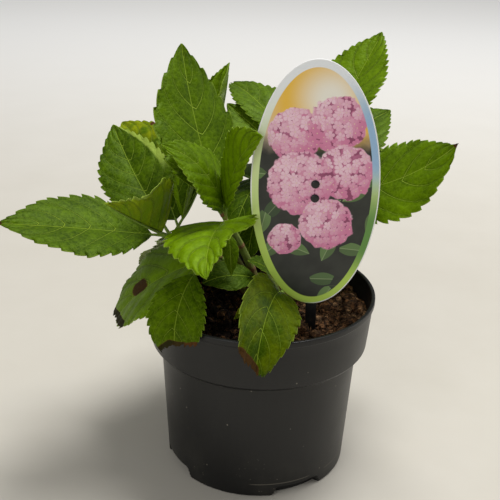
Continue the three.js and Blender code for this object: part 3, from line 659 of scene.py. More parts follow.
def add_blade(shape, leaf, line, look, seed):
    """Adds a blade: a thin closed skin over a grid of rows along it and columns across it.

    A point lies on the midrib's line plus half the width times the reach and lift of an arc that leaves
    the midrib at the angle fold and turns on by curl. Teeth widen the half width in steps that lean
    forwards. Between the side veins, which run forwards from the midrib as a straight and a square term
    of the share across, the blade bulges by a sine of the vein count, and the margin waves."""
    chance = np.random.default_rng(seed)
    rows, phase, tooth, teeth = tooth_rows(leaf, look)
    spread_angle = np.linspace(-math.pi / 2, math.pi / 2, 2 * BLADE_COLUMNS + 1) * EDGE_CROWDING
    v = np.sin(spread_angle) / math.sin(EDGE_CROWDING * math.pi / 2)
    share = np.abs(v)[None, :]
    rightward = v[None, :] > 0
    side_of = np.where(v > 0, 1, 0)
    u = rows[:, None]
    length = leaf["length"] * MM
    small = min(leaf["width"] / FULL_WIDTH, 1)

    ends = np.interp(v, np.linspace(-1, 1, len(leaf["ends"])), leaf["ends"])
    cut = min(leaf["ends"][2], 1)
    torn = np.ptp(leaf["ends"]) > 0 or cut < 1
    shaggy = chance.normal(size=len(v)) * (RAGGEDNESS if torn else 0)
    sway = TOOTH_SWAY / teeth * share ** 3 * np.sin(math.pi * u) * np.where(rightward, 1, -1)
    lean = TOOTH_LEAN / teeth * (phase[:, None] - 0.4) * share ** 10 * ease(u, 0.05, 0.2) * (1 - u ** 6)
    reach_u = u * cut + (ends + shaggy - cut)[None, :] * u ** 8 + sway + lean

    jitter = chance.uniform(0.7, 1.3, (teeth + 1, 2))
    size = jitter[tooth][:, side_of] * leaf["keen"]
    keen = look.tooth_depth * small * ease(u, 0.04, 0.2) * (1 - 0.75 * u ** 5)
    blunt = (1 - (1 - phase[:, None]) ** 1.6) - TOOTH_BASE
    half = half_width(leaf, reach_u)
    for here, (slim, start) in zip((~rightward, rightward), leaf["slim"]):
        half = half * (1 - slim * here * ease(reach_u, start, start + SLIM_WAY))
    half = half + np.minimum(keen, half * DEEPEST_TOOTH) * blunt * size * share ** 5

    fold = math.radians(leaf["fold"])
    curl = np.where(rightward, math.radians(leaf["curl_right"]), math.radians(leaf["curl_left"]))
    angle = fold + curl * share
    reach = half * (np.sin(angle) - math.sin(fold)) / curl
    lift = half * (math.cos(fold) - np.cos(angle)) / curl

    veins = look.vein_pairs * (reach_u - VEIN_SLANT * share - VEIN_BEND * share ** 2) + VEIN_START
    veins = veins + np.where(rightward, VEIN_OFFSET, 0)
    puffed = np.abs(np.sin(math.pi * veins)) ** 0.8 * np.sqrt(np.clip(4 * share * (1 - 0.8 * share), 0, 1))
    bulge = look.quilt * leaf["quilt"] * puffed * small * ease(u, 0, 0.1)
    sunk = MIDRIB_SINK * MM * np.exp(-(share / MIDRIB_SHARE) ** 2) * (1 - u)
    swings = chance.uniform(2.2, 3.6, 2)[side_of][None, :]
    starts = chance.uniform(0, TURN, 2)[side_of][None, :]
    swell = share ** 2 * np.sin(math.pi * np.clip(u, 0, 1)) ** 0.7
    waving = look.wave * small * swell * np.sin(TURN * swings * u + starts)

    place, along, across = line(leaf["stalk"] * MM + length * reach_u)
    normal = np.cross(across, along)
    roll = math.radians(leaf["roll"])
    side = across * math.cos(roll) + normal * math.sin(roll)
    up = normal * math.cos(roll) - across * math.sin(roll)
    sign = np.sign(v)[None, :, None]
    outward = up * np.cos(angle)[..., None] - side * sign * np.sin(angle)[..., None]
    outward = np.where(sign == 0, up, outward)
    middle = place + side * sign * reach[..., None] + up * lift[..., None]
    middle = middle + outward * (bulge - sunk + waving)[..., None]

    face = unit(np.cross(np.gradient(middle, axis=1), np.gradient(middle, axis=0)))
    skin = middle + face * look.thickness / 2
    under = middle - face * look.thickness / 2
    down_blade = np.broadcast_to(length * reach_u, middle.shape[:2])
    across_blade = half * v[None, :]
    spread = np.stack([down_blade, across_blade, np.broadcast_to(share, middle.shape[:2])], -1)
    tint = np.zeros(middle.shape)
    tint[..., 0] = np.interp(reach_u, (0.2, 0.8), np.broadcast_to(leaf["tone"], 2))
    tint[..., 1] = leaf["yellow"] * ease(reach_u, leaf["yellow_from"] - 0.1, leaf["yellow_from"] + 0.1)
    turned = np.where(rightward, leaf["rim"][1], leaf["rim"][0])
    tint[..., 2] = ease(share, turned - 0.02, turned + 0.02) * ease(reach_u, 0.3, 0.5)
    tint_under = tint.copy()
    tint_under[..., 2] = np.where(turned < 1, np.maximum(tint[..., 2], leaf["pale"]), leaf["pale"])
    shape.add(
        np.concatenate([skin.reshape(-1, 3), under.reshape(-1, 3)]), slab_faces(*middle.shape[:2]),
        blade=np.concatenate([spread.reshape(-1, 3)] * 2),
        veins=np.concatenate([veins.ravel()] * 2),
        tint=np.concatenate([tint.reshape(-1, 3), tint_under.reshape(-1, 3)]),
        scorch=np.concatenate([scorch_of(leaf, down_blade, across_blade).reshape(-1, 3)] * 2),
    )


def slab_faces(rows, columns):
    """Faces of a skin and the back under it, joined round their four edges."""
    grid = quads(rows, columns)
    total = rows * columns
    row = np.arange(rows - 1) * columns
    right = row + columns - 1
    column = np.arange(columns - 1)
    tip = (rows - 1) * columns + column
    return [
        grid,
        grid[:, ::-1] + total,
        np.stack([row, row + columns, total + row + columns, total + row], 1),
        np.stack([right, total + right, total + right + columns, right + columns], 1),
        np.stack([column, total + column, total + column + 1, column + 1], 1),
        np.stack([tip, tip + 1, total + tip + 1, total + tip], 1),
    ]


def scorch_of(leaf, down_blade, across_blade):
    """How dead each point is, 1 on a spot's line and 0 two radii off it, and how black that spot is."""
    dead = np.zeros((*down_blade.shape, 3))
    points = np.stack([down_blade, across_blade], -1)
    for radius, black, *shares in leaf["spots"]:
        line = [np.array([along * leaf["length"] * MM, aside * half_width(leaf, np.array(along))])
                for along, aside in shares]
        for first, last in zip(line, line[1:] or line):
            way = last - first
            nearest = np.clip((points - first) @ way / max(way @ way, TINY), 0, 1)
            away = np.linalg.norm(points - first - nearest[..., None] * way, axis=-1)
            here = 1 - away / (2 * radius * MM)
            nearer = here > dead[..., 0]
            dead[..., 0] = np.where(nearer, here, dead[..., 0])
            dead[..., 1] = np.where(nearer, black, dead[..., 1])
    return dead


STALK_SIDES = 14
STALK_ROWS = 44
RIB_END = 0.93
RIB_RADIUS = 0.28
FULL_LENGTH = 70
STALK_SWELL = 0.35
SWELL_REACH = 3
GROOVE_DEPTH = 0.28


def add_stalk(shape, leaf, line):
    """Adds a leaf's stalk, which runs on under the blade as its midrib. The tube's radius falls along
    the stalk and again to the rib's end, and a groove runs down its upper side."""
    stalk = leaf["stalk"] * MM
    rib = leaf["length"] * min(leaf["ends"][2], 1) * RIB_END * MM
    distance = np.concatenate([np.linspace(0, stalk, STALK_ROWS // 3, endpoint=False),
                               np.linspace(stalk, stalk + rib, STALK_ROWS - STALK_ROWS // 3)])
    place, along, across = line(distance)
    normal = np.cross(across, along)
    roll = math.radians(leaf["roll"]) * ease(distance, 0, stalk + 0.1 * rib)[:, None]
    side = across * np.cos(roll) + normal * np.sin(roll)
    up = normal * np.cos(roll) - across * np.sin(roll)
    small = min(leaf["length"] / FULL_LENGTH, 1)
    base = STALK_RADIUS * MM * small
    radius = np.interp(distance, [0, stalk, stalk + rib],
                       [base, base * STALK_TAPER, RIB_RADIUS * MM * small])
    swell = STALK_SWELL * base * np.exp(-(distance / (SWELL_REACH * MM)) ** 2)
    below = ease(distance, 0.8 * stalk, stalk + 0.06 * rib) * (radius + 0.12 * MM)
    turn = TURN * np.arange(STALK_SIDES) / STALK_SIDES
    groove = GROOVE_DEPTH * np.clip(np.sin(turn), 0, 1) ** 4
    grooved = ease(stalk - distance, -0.1 * stalk, 0.4 * stalk)[:, None]
    radii = (radius + swell)[:, None] * (1 - groove * grooved)
    spoke = -np.cos(turn)[None, :, None] * side[:, None] + np.sin(turn)[None, :, None] * up[:, None]
    rings = (place - up * below[:, None])[:, None] + spoke * radii[..., None]
    mark = np.zeros(rings.shape)
    mark[..., 0] = distance[:, None]
    mark[..., 1] = turn / TURN
    mark[..., 2] = 0.5 * np.exp(-distance / (5 * MM))[:, None]
    add_tube(shape, rings, grain=mark)


STEM_SIDES = 24
STEM_ROWS = 110
TOP_ROWS = 40
TOP_LIFT = 0.002
RIBS = 6
RIB_WINDING = 40
JOINT_REACH = 1.7
JOINT_OFFSET = 0.35


def add_limb(shape, shoot, start, end, foot_radius, tip_radius, flare, look, rows, seed, age):
    """Adds a stretch of a shoot with the relief of its bark. The radius falls evenly from foot to tip,
    plus a flare that fades at the foot, the swell of a joint every so often, low ribs that wind along
    it, and roughness. Age is how brown its foot is."""
    share = np.linspace(0, 1, rows)
    shares = start + (end - start) * share
    place, _ = shoot_line(shoot, shares)
    steps = np.linalg.norm(np.diff(place, axis=0), axis=1)
    distance = np.concatenate([[0], np.cumsum(steps)])
    turn = TURN * np.arange(STEM_SIDES) / STEM_SIDES
    even = (foot_radius + (tip_radius - foot_radius) * share + flare * np.exp(-FLARE_FADE * share)) * MM
    gap = (distance + JOINT_OFFSET * look.joint_gap) / look.joint_gap
    near_joint = np.abs(gap - np.round(gap)) * look.joint_gap
    joint = np.exp(-(near_joint / (JOINT_REACH * MM)) ** 2)
    quarter = np.round(gap) * math.pi / 2
    scar = np.cos(turn[None, :] - quarter[:, None]) ** 2
    ribs = np.cos(RIBS * turn[None, :] + RIB_WINDING * distance[:, None])
    flat_x = np.cos(turn)[None, :] * even[:, None]
    flat_y = np.sin(turn)[None, :] * even[:, None]
    skin = np.stack(np.broadcast_arrays(flat_x, flat_y, distance[:, None]), -1)
    rough = ripple(skin * np.array([1, 1, 0.35]), 1.6 * MM, seed)
    radii = even[:, None] + look.joint_swell * joint[:, None] * (0.35 + 0.65 * scar)
    radii = radii + look.ridge * (ribs * (1 - joint[:, None]) + 0.7 * rough)
    rings = limb_rings(shoot, shares, radii, STEM_SIDES)
    mark = np.zeros(rings.shape)
    mark[..., 0] = distance[:, None]
    mark[..., 1] = turn / TURN
    mark[..., 2] = np.clip(age * (1 - share)[:, None] ** 1.5 + 0.75 * joint[:, None], 0, 1)
    add_tube(shape, rings, grain=mark)


BUD_ROWS = 22
BUD_LENGTH = 9
BUD_RADIUS = 2.1
BUD_SUNK = 1.5
BUD_FLATNESS = 0.62


def add_bud(shape, shoot):
    """Adds the bud at a shoot's crown: two small leaves pressed face to face. Its radius is a sine of a
    power of the way along, flattened one way, with a groove where the two leaves meet."""
    place, along = shoot_line(shoot, np.array([1.0]))
    guide = np.array([0.0, 1.0, 0.0])
    across = unit(guide - along * (along @ guide)[..., None])[0]
    along = along[0]
    up = np.cross(along, across)
    share = np.linspace(0.02, 1, BUD_ROWS)
    turn = TURN * np.arange(STALK_SIDES) / STALK_SIDES
    radius = BUD_RADIUS * MM * np.sin(math.pi * share ** 0.6) ** 0.8 + 0.15 * MM
    groove = 1 - 0.25 * np.abs(np.cos(turn)) ** 12
    spoke = np.cos(turn)[:, None] * across + BUD_FLATNESS * np.sin(turn)[:, None] * up
    spine = place[0] - BUD_SUNK * MM * along + share[:, None] * BUD_LENGTH * MM * along
    rings = spine[:, None] + spoke[None] * (radius[:, None] * groove)[..., None]
    mark = np.zeros(rings.shape)
    mark[..., 0] = share[:, None] * BUD_LENGTH * MM
    mark[..., 1] = turn / TURN
    add_tube(shape, rings, grain=mark)


def leaf_finish(look):
    """A satin leaf: thin pale veins over deep green, fine netting between them, a paler underside and dead
    places that go from brown to black. Painted shade darkens it beside the side veins, in the creases of
    the quilting and in the hollows of the puckers, and painted light brightens the bulges of both."""
    finish = Finish("leaf_green", Specular_IOR_Level=0.32, Specular_Tint=(0.5, 0.8, 0.06, 1))
    blade = finish.mark("blade", "Vector")
    _, across, share = finish.parts(blade)
    phase = finish.mark("veins")
    tone, yellow, under = finish.parts(finish.mark("tint", "Vector"))
    dying, charred, _ = finish.parts(finish.mark("scorch", "Vector"))
    place = finish.place()
    blotch = finish.noise(place, 0.014, 3)
    flat = finish.stretch(blade, (1, 1, 0))
    pucker = finish.noise(flat, 0.0034, 2)
    fine = finish.noise(place, 0.0016, 3)

    near = 0.5 - abs(phase.reckon("FRACT") - 0.5)
    side_vein = finish.ease(near, 0.036 - share * 0.02, 0.01)
    shadow = finish.ease(near, 0.16, 0.03)
    midrib = finish.ease(abs(across), 0.0006, 0.0002)
    net = finish.cells(flat, 0.0036, "DISTANCE_TO_EDGE")
    netting = finish.ease(net, 0.1, 0.0)
    between = finish.cells(flat, 0.011, "DISTANCE_TO_EDGE")

    # Painted shade and painted light: the pucker noise makes the green darker in the puckers' hollows and
    # lighter on their bumps.
    pucker_shading = (pucker - 0.5) * 0.5 - 0.06
    green = finish.blend(tone + (blotch - 0.5) * 0.6 + pucker_shading, tuple(look.deep), tuple(look.bright))
    # Yellow is the blade's ageing, and on the third blade of the left shoot it is also painted light.
    ageing_and_painted_light = yellow * finish.ease(blotch + (share - 0.5) * 0.2, 0.3, 0.62)
    green = finish.blend(ageing_and_painted_light, green, tuple(look.yellow))
    # Painted shade: darker beside the side veins, where the blade dips, and at the edges of the quilting's
    # cells, its creases.
    green = finish.blend(shadow * 0.35 + finish.ease(between, 0.16, 0.0) * 0.12, green, tuple(look.deep))
    # Painted light: lighter in the middles of the quilting's cells, on its bulges.
    green = finish.blend(finish.ease(between, 0.2, 0.5) * 0.08, green, tuple(look.bright))
    lines = side_vein * (0.74 - share * 0.36) + netting * 0.1
    green = finish.blend(lines, green, tuple(look.vein))
    green = finish.blend(midrib * 0.6, green, tuple(look.vein))
    green = finish.blend(finish.ease(share, 0.965, 1.0) * 0.4, green, tuple(look.vein))
    beneath = finish.blend(side_vein * 0.5 + netting * 0.2, tuple(look.under), tuple(look.vein))
    green = finish.blend(under, green, beneath)
    dead = dying + (finish.noise(place, 0.004, 3) - 0.5) * 0.26
    brown = finish.ease(dead, 0.4, 0.48)
    black = finish.ease(dead, 0.43, 0.52) * charred
    colour = finish.blend(brown, green, tuple(look.brown))
    colour = finish.blend(black, colour, tuple(look.black))
    finish.feed("Base Color", colour)
    finish.feed("Roughness", 0.42 + fine * 0.16 + brown * 0.25)
    relief = net * 0.35 + between * 0.6 + pucker * 0.2 + fine * 0.25
    finish.emboss(relief - side_vein * 0.7 - midrib * 0.4, 0.001, 0.9)
    return finish


def bark_finish(name, young, old):
    """Green bark that turns brown with age, streaked along the stem, with pale pores."""
    finish = Finish(name, Specular_IOR_Level=0.35)
    grain = finish.mark("grain", "Vector")
    age = finish.parts(grain)[2]
    place = finish.place()
    streaked = finish.noise(finish.stretch(place, (1, 1, 0.22)), 0.0012, 4)
    patch = finish.noise(place, 0.006, 2)
    pores = finish.ease(finish.cells(finish.stretch(place, (1, 1, 0.5)), 0.0022), 0.17, 0.1)
    share = finish.ease(age + (patch - 0.5) * 0.7 + (streaked - 0.5) * 0.3, 0.12, 0.75)
    colour = finish.blend(share, young, old)
    colour = finish.blend(finish.ease(streaked, 0.55, 0.75) * 0.3, colour, paint(60, 52, 24))
    colour = finish.blend(pores * 0.35, colour, paint(178, 158, 112))
    finish.feed("Base Color", colour)
    finish.feed("Roughness", 0.5 + streaked * 0.25)
    finish.emboss(streaked + pores * 0.6, 0.0003, 0.6)
    return finish


def peat_finish(look, name, redness):
    """Peat: damp dark crumbs with dry reddish ones among them."""
    finish = Finish(name, Specular_IOR_Level=0.18)
    place = finish.place()
    grains = finish.cells(place, 0.0048)
    tint = grains.other("Color")
    chance, _, other_chance = finish.parts(tint)
    patch = finish.noise(place, 0.018, 3)
    fine = finish.noise(place, 0.0007, 3)
    drier = finish.ease(finish.parts(place)[0], 0.0, 0.06)
    reddish = finish.ease(chance * 0.6 + patch + drier * 0.55, 1.15 - redness, 1.5 - redness)
    colour = finish.blend(reddish, tuple(look.dark), tuple(look.red))
    colour = finish.blend(finish.ease(other_chance, 0.6, 0.85) * drier * 0.9, colour, tuple(look.pale))
    colour = finish.blend(finish.ease(grains, 0.3, 0.6) * 0.7, colour, paint(20, 12, 8))
    strands = finish.noise(finish.stretch(place, (0.25, 1, 1)), 0.0011, 4)
    colour = finish.blend(finish.ease(strands, 0.56, 0.42) * 0.75, colour, paint(18, 12, 8))
    finish.feed("Base Color", colour)
    finish.feed("Roughness", 0.8 + fine * 0.2)
    finish.emboss(fine * 0.5 + strands + grains, 0.001, 1.0)
    return finish


def plastic_finish(look):
    """Matt black moulded plastic with a faint grain, rubbed streaks, dust and specks at its foot, and a
    painted highlight in a thin broken arc round the foot.
    """
    finish = Finish("pot_plastic", Specular_IOR_Level=0.4)
    place = finish.place()
    height = finish.parts(place)[2]
    grain = finish.noise(place, 0.0009, 3)
    cloud = finish.noise(place, 0.035, 4)
    streak = finish.noise(finish.stretch(place, (1, 1, 0.12)), 0.006, 3)
    low = finish.ease(height, 0.055, 0.0)
    specks = finish.ease(finish.cells(place, 0.0075), 0.11, 0.055)
    seldom = finish.ease(finish.noise(place, 0.012, 1), 0.56, 0.64)
    foot_specks = finish.ease(finish.cells(place, 0.0048), 0.11, 0.05) * low
    # Painted highlight: a thin light arc round the foot at 12.5 mm, broken by noise. It goes into dusty and
    # takes the dust colour.
    foot_highlight = finish.ease(abs(height - 0.0125), 0.0006, 0.0002)
    foot_highlight = foot_highlight * finish.ease(finish.noise(place, 0.03, 1), 0.52, 0.58)
    dusty = low * finish.ease(cloud, 0.42, 0.7) * 0.05 + specks * seldom * 0.6 + foot_highlight * 0.3
    dusty = dusty + foot_specks * finish.ease(cloud, 0.4, 0.55) * 0.5
    colour = finish.blend(streak * 0.2, tuple(look.plastic), paint(38, 38, 37))
    colour = finish.blend(dusty, colour, tuple(look.dust))
    finish.feed("Base Color", colour)
    finish.feed("Roughness", 0.3 + cloud * 0.14 + grain * 0.08 + dusty * 0.5)
    finish.emboss(grain, 0.00015, 0.35)
    return finish


# Round heads of blossom on the label: place across and up from its middle, and radius, in millimetres
HEADS = ((15, 49, 22), (-16, 41, 21), (22, 12, 22), (-11, 3, 26), (9, -29, 21), (-22, -42, 13))
SUN = (9, 68)


def scattered(finish, spread, size):
    """Cells scattered over the card: the way from each one's middle in size, and two chances of its own."""
    cell = finish.node(
        "ShaderNodeTexVoronoi", {"voronoi_dimensions": "2D"},
        {"Vector": spread, "Scale": 1 / size, "Randomness": 0.8}, "Distance")
    own, other_own, _ = finish.parts(cell.other("Color"))
    middle_x, middle_z, _ = finish.parts(cell.other("Position"))
    x, z, _ = finish.parts(spread)
    return (x - middle_x) * (1 / size), (z - middle_z) * (1 / size), own, other_own


def blossoms(finish, spread, size):
    """Five-petalled blossoms: where they are, how far out from the middle, where two petals meet, and each
    one's own chance. The petals' edge is a wave of the angle about the middle."""
    dx, dz, own, other_own = scattered(finish, spread, size)
    away = (dx * dx + dz * dz) ** 0.5
    petal = abs(((dz.reckon("ARCTAN2", dx) + own * TURN) * 2.5).reckon("COSINE"))
    out = away / ((0.52 + other_own * 0.22) * (0.5 + petal ** 0.5 * 0.5))
    return finish.ease(out, 1.04, 0.9), out, finish.ease(petal, 0.5, 0.05), own


def print_finish(look, half_wide, half_high):
    """A glossy printed card. Round heads of plain five-petalled blossoms stand over pointed leaves on dark
    ground, with a warm glow above, inside a plain border that fades from sky to meadow."""
    finish = Finish("label_print", Specular_IOR_Level=0.4)
    spread = finish.mark("spread", "Vector")
    x, z, reverse = finish.parts(spread)
    wobble = (finish.noise(spread, 0.008, 2) - 0.5) * 0.34

    def oval(inset):
        wide = x / (half_wide - inset)
        high = z / (half_high - inset)
        return (wide * wide + high * high) ** 0.5

    # Ground: lens-shaped leaves, each turned its own way, with one half lighter and a pale midrib
    dx, dz, own, other_own = scattered(finish, spread, 0.021)
    cosine = (own * TURN).reckon("COSINE")
    sine = (own * TURN).reckon("SINE")
    along = dx * cosine + dz * sine
    across = dz * cosine - dx * sine
    lens = finish.ease(abs(across) + along * along * 0.8, 0.27, 0.25)
    leafy = finish.blend(other_own, paint(58, 84, 52), tuple(look.sprig))
    leafy = finish.blend(finish.ease(across, -0.01, 0.01) * 0.35, leafy, paint(34, 48, 32))
    leafy = finish.blend(finish.ease(abs(across), 0.02, 0.008) * 0.6, leafy, paint(168, 186, 136))
    shade = finish.ease(finish.noise(spread, 0.018, 2), 0.35, 0.65)
    ground = finish.blend(shade * 0.5, tuple(look.ground), paint(30, 32, 30))
    picture = finish.blend(lens * finish.ease(other_own, 0.1, 0.3), ground, leafy)

    # Glow: a pale sun in a warm sky
    sun_x = x - SUN[0] * MM
    sun_z = z - SUN[1] * MM
    sun = (sun_x * sun_x + sun_z * sun_z) ** 0.5
    warm = finish.blend(finish.ease(sun, 0.004, 0.034), paint(255, 250, 236), tuple(look.glow))
    warm = finish.blend(finish.ease(sun, 0.03, 0.06), warm, paint(236, 214, 190))
    picture = finish.blend(finish.ease(z + wobble * 0.03, 0.026, 0.045), picture, warm)

    # Heads: each is lit as a ball, and blossoms in two layers cover them
    light = 0.0
    headed = 0.0
    for head_x, head_z, radius in HEADS:
        off_x = (x - head_x * MM) * (1 / (radius * MM))
        off_z = (z - head_z * MM) * (1 / (radius * MM))
        out = (off_x * off_x + off_z * off_z) ** 0.5 + wobble
        here = finish.ease(out, 1.0, 0.95)
        light = light * (1 - here) + (off_z * 0.45 - off_x * 0.3 - out * out * 0.4) * here
        headed = here.reckon("MAXIMUM", headed)
    petals = None
    lower = finish.vector(x + 0.003, z + 0.0024, 0.0)
    for layer, size, lift in ((lower, look.blossom * 1.15, -0.3), (spread, look.blossom, 0.1)):
        blossom, out, seam, own = blossoms(finish, layer, size)
        lit = finish.ease(light + (own - 0.5) * 0.6 + wobble + lift, -0.7, 0.45)
        pink = finish.blend(lit, tuple(look.petal_deep), tuple(look.petal))
        pink = finish.blend(seam * 0.45 + finish.ease(out, 0.35, 0.0) * 0.3, pink, tuple(look.petal_deep))
        pink = finish.blend(finish.ease(out, 0.14, 0.08) * 0.8, pink, paint(246, 232, 188))
        if petals is None:
            petals = finish.blend(lit, tuple(look.gap), tuple(look.petal_deep))
        petals = finish.blend(blossom, petals, pink)
    picture = finish.blend(headed, picture, petals)

    right = finish.ease(x, 0.0, 0.04)
    down = finish.ease(z, 0.05, -0.07)
    border = finish.blend(finish.ease(z, 0.085, 0.02), tuple(look.sky), tuple(look.haze))
    border = finish.blend(down, border, tuple(look.meadow))
    border = finish.blend(right * finish.ease(z, -0.01, 0.02) * finish.ease(z, 0.095, 0.05), border,
                          tuple(look.shade))
    border = finish.blend(right * finish.ease(z, 0.01, -0.03) * finish.ease(z, -0.08, -0.05), border,
                          tuple(look.hedge))
    colour = finish.blend(finish.ease(oval(look.border), 1.004, 0.996), border, picture)
    lower_left = finish.ease(x, 0.01, -0.01) * finish.ease(z, 0.0, -0.03)
    rim = finish.ease(oval(look.edge), 0.994, 1.0) * (1 - lower_left)
    colour = finish.blend(rim, colour, paint(250, 251, 250))
    colour = finish.blend(finish.ease(reverse, 0.4, 0.6), colour, paint(236, 236, 234))
    scuff = finish.noise(finish.place(), 0.02, 4)
    finish.feed("Base Color", colour)
    finish.feed("Roughness", 0.26 + scuff * 0.14)
    return finish


def stick_finish(look):
    """Matt black plastic with a faint grain and a little peat dust."""
    finish = Finish("stick_plastic", Specular_IOR_Level=0.5)
    place = finish.place()
    grain = finish.noise(place, 0.0008, 3)
    dusty = finish.ease(finish.noise(place, 0.006, 3), 0.55, 0.75)
    colour = finish.blend(dusty * 0.25, tuple(look.stick), paint(70, 62, 52))
    finish.feed("Base Color", colour)
    finish.feed("Roughness", 0.34 + grain * 0.2)
    finish.emboss(grain, 0.0001, 0.4)
    return finish


POT_SIDES = 360
NOTCH_FIRST = -62
NOTCH_ANGLE = 34
NOTCH_SLOPE = 0.2
FOOT_ROUND = 2
LIP_ROUND = 0.8
FLOOR = 2.6
FLOOR_RADIUS = 63.5
HEEL_HEIGHT = 16
FOOT_ROWS = 34
NOTCH_BAND = 12


def arc(centre, radius, start, end, steps):
    """Points of a round corner, from one angle in degrees to another."""
    angles = np.radians(np.linspace(start, end, steps))
    return [(centre[0] + radius * math.cos(angle), centre[1] + radius * math.sin(angle))
            for angle in angles]


def pot_profile(look):
    """Radius and height down the pot's whole section, from the middle of its underside up the outside,
    over the lip and down the inside to the middle of the floor."""
    round_foot = FOOT_ROUND * MM
    soft = LIP_ROUND * MM
    lip = RIM_RADIUS - look.lip_out
    lip_foot = POT_TOP - look.lip_height
    outside = [(0.004, 0), (0.04, 0)]
    outside += arc((look.base_radius - round_foot, round_foot), round_foot, -90, 0, 7)
    body_top = (look.body_top_radius, look.collar_foot - 2 * round_foot)
    band = NOTCH_BAND * MM
    heights = [round_foot + band * share for share in np.linspace(0, 1, FOOT_ROWS)[1:]]
    heights += [round_foot + band + (body_top[1] - round_foot - band) * share
                for share in (0.2, 0.4, 0.6, 0.8, 0.94, 1)]
    for height in heights:
        radius = np.interp(height, [round_foot, body_top[1]], [look.base_radius, body_top[0]])
        outside.append((radius, height))
    step = look.collar_foot - round_foot
    outside += [(look.body_top_radius + 0.0008, body_top[1] + 0.0012)]
    outside += [(look.collar_foot_radius - 0.0016, step - 0.0006)]
    outside += arc((look.collar_foot_radius - soft, look.collar_foot), soft, -75, 0, 5)
    for share in (0.25, 0.5, 0.75, 0.97):
        outside.append((look.collar_foot_radius + (lip - look.collar_foot_radius) * share,
                        look.collar_foot + (lip_foot - look.collar_foot) * share))
    outside += [(lip + 0.0002, lip_foot - 0.0001)]
    outside += arc((RIM_RADIUS - soft, lip_foot + soft), soft, -60, 0, 4)
    outside += arc((RIM_RADIUS - soft, POT_TOP - soft), soft, 0, 90, 5)
    inner_lip = lip - look.wall
    inside = arc((inner_lip + soft, POT_TOP - soft), soft, 90, 180, 5)
    inside += [(look.collar_foot_radius - look.wall, look.collar_foot + round_foot)]
    inside += [(look.body_top_radius - look.wall, look.collar_foot)]
    inside += [(look.base_radius - look.wall, HEEL_HEIGHT * MM), (FLOOR_RADIUS * MM, FLOOR * MM)]
    inside += [(0.03, FLOOR * MM), (0.004, FLOOR * MM)]
    return np.array(outside + inside), len(outside)


def pot_shape(look):
    """The pot as a turned skin. In a drainage notch the radius falls back by the notch's depth wherever
    the height is under the notch's roof, which rises over its ends and is level between them."""
    profile, outside = pot_profile(look)
    turn = TURN * np.arange(POT_SIDES) / POT_SIDES
    radius = np.repeat(profile[:, :1], POT_SIDES, 1)
    height = np.repeat(profile[:, 1:], POT_SIDES, 1)
    gap = TURN / look.notches
    off = (turn - math.radians(NOTCH_FIRST) + gap / 2) % gap - gap / 2
    from_end = math.radians(NOTCH_ANGLE / 2) - np.abs(off)
    slope = math.radians(NOTCH_ANGLE / 2) * NOTCH_SLOPE
    roof = look.notch_height * np.clip(from_end / slope, -0.2, 1)[None, :]
    deep = ease(roof - height, -0.0002, 0.0003)
    deep[outside:] = 0
    near_wall = ease(profile[:, 0], 0.05, look.base_radius - FOOT_ROUND * MM)[:, None]
    radius = radius - look.notch_depth * deep * near_wall
    rings = np.stack([radius * np.cos(turn), radius * np.sin(turn), height], -1)
    shape = Shape()
    add_tube(shape, rings)
    return shape


PEAT_SIDES = 240
PEAT_RINGS = 84
PEAT_FLAT_RADIUS = 42
PEAT_EDGE_DROP = 3.5
PEAT_SHOULDER = 74
PEAT_SHOULDER_DROP = 2.1
WALL_GAP = 0.5
PEAT_ROOM = 0.6
CRUMB_REACH = 1.5
CRUMB_LIFT = 0.35


def peat_edge(look):
    """Radius of the pot's inside at the height of the peat's edge."""
    height = SOIL_TOP - PEAT_EDGE_DROP * MM
    outside = np.interp(height, [look.collar_foot, POT_TOP - look.lip_height],
                        [look.collar_foot_radius, RIM_RADIUS - look.lip_out])
    return outside - look.wall - WALL_GAP * MM


def peat_height(points, look, edge):
    """Height of the peat: level in the middle, a little lower by the wall, and rough at three scales."""
    radius = np.linalg.norm(points, axis=-1)
    drop = np.interp(radius, np.array([0, PEAT_FLAT_RADIUS, PEAT_SHOULDER, edge / MM]) * MM,
                     np.array([0, 0, PEAT_SHOULDER_DROP, PEAT_EDGE_DROP]) * MM)
    broad = ripple(points, 22 * MM, 3)
    small = ripple(points, 6 * MM, 4)
    tiny = ripple(points, 2.4 * MM, 5, 20)
    rough = look.relief * (0.5 * broad + 0.35 * small + 0.3 * tiny)
    return SOIL_TOP - drop + rough - PEAT_ROOM * MM


def peat_shape(pot, look):
    """The filling of the pot: a rough top on rings, then down the wall to the floor."""
    edge = peat_edge(pot)
    turn = TURN * np.arange(PEAT_SIDES) / PEAT_SIDES
    ring = np.linspace(1, 0.012, PEAT_RINGS)[:, None] * edge
    top = np.stack([ring * np.cos(turn), ring * np.sin(turn)], -1)
    top = np.concatenate([top, peat_height(top, look, edge)[..., None]], -1)
    deep = [(FLOOR_RADIUS - 0.5, FLOOR + 0.3), (pot.base_radius / MM - 1.8, HEEL_HEIGHT + 0.5),
            (pot.body_top_radius / MM - 2.5, pot.collar_foot / MM + 0.5)]
    spoke = np.stack([np.cos(turn), np.sin(turn), np.zeros(PEAT_SIDES)], -1)
    walls = [radius * MM * spoke + np.array([0, 0, height * MM]) for radius, height in deep]
    rings = np.concatenate([np.stack(walls), top])
    shape = Shape()
    add_tube(shape, rings)
    return shape


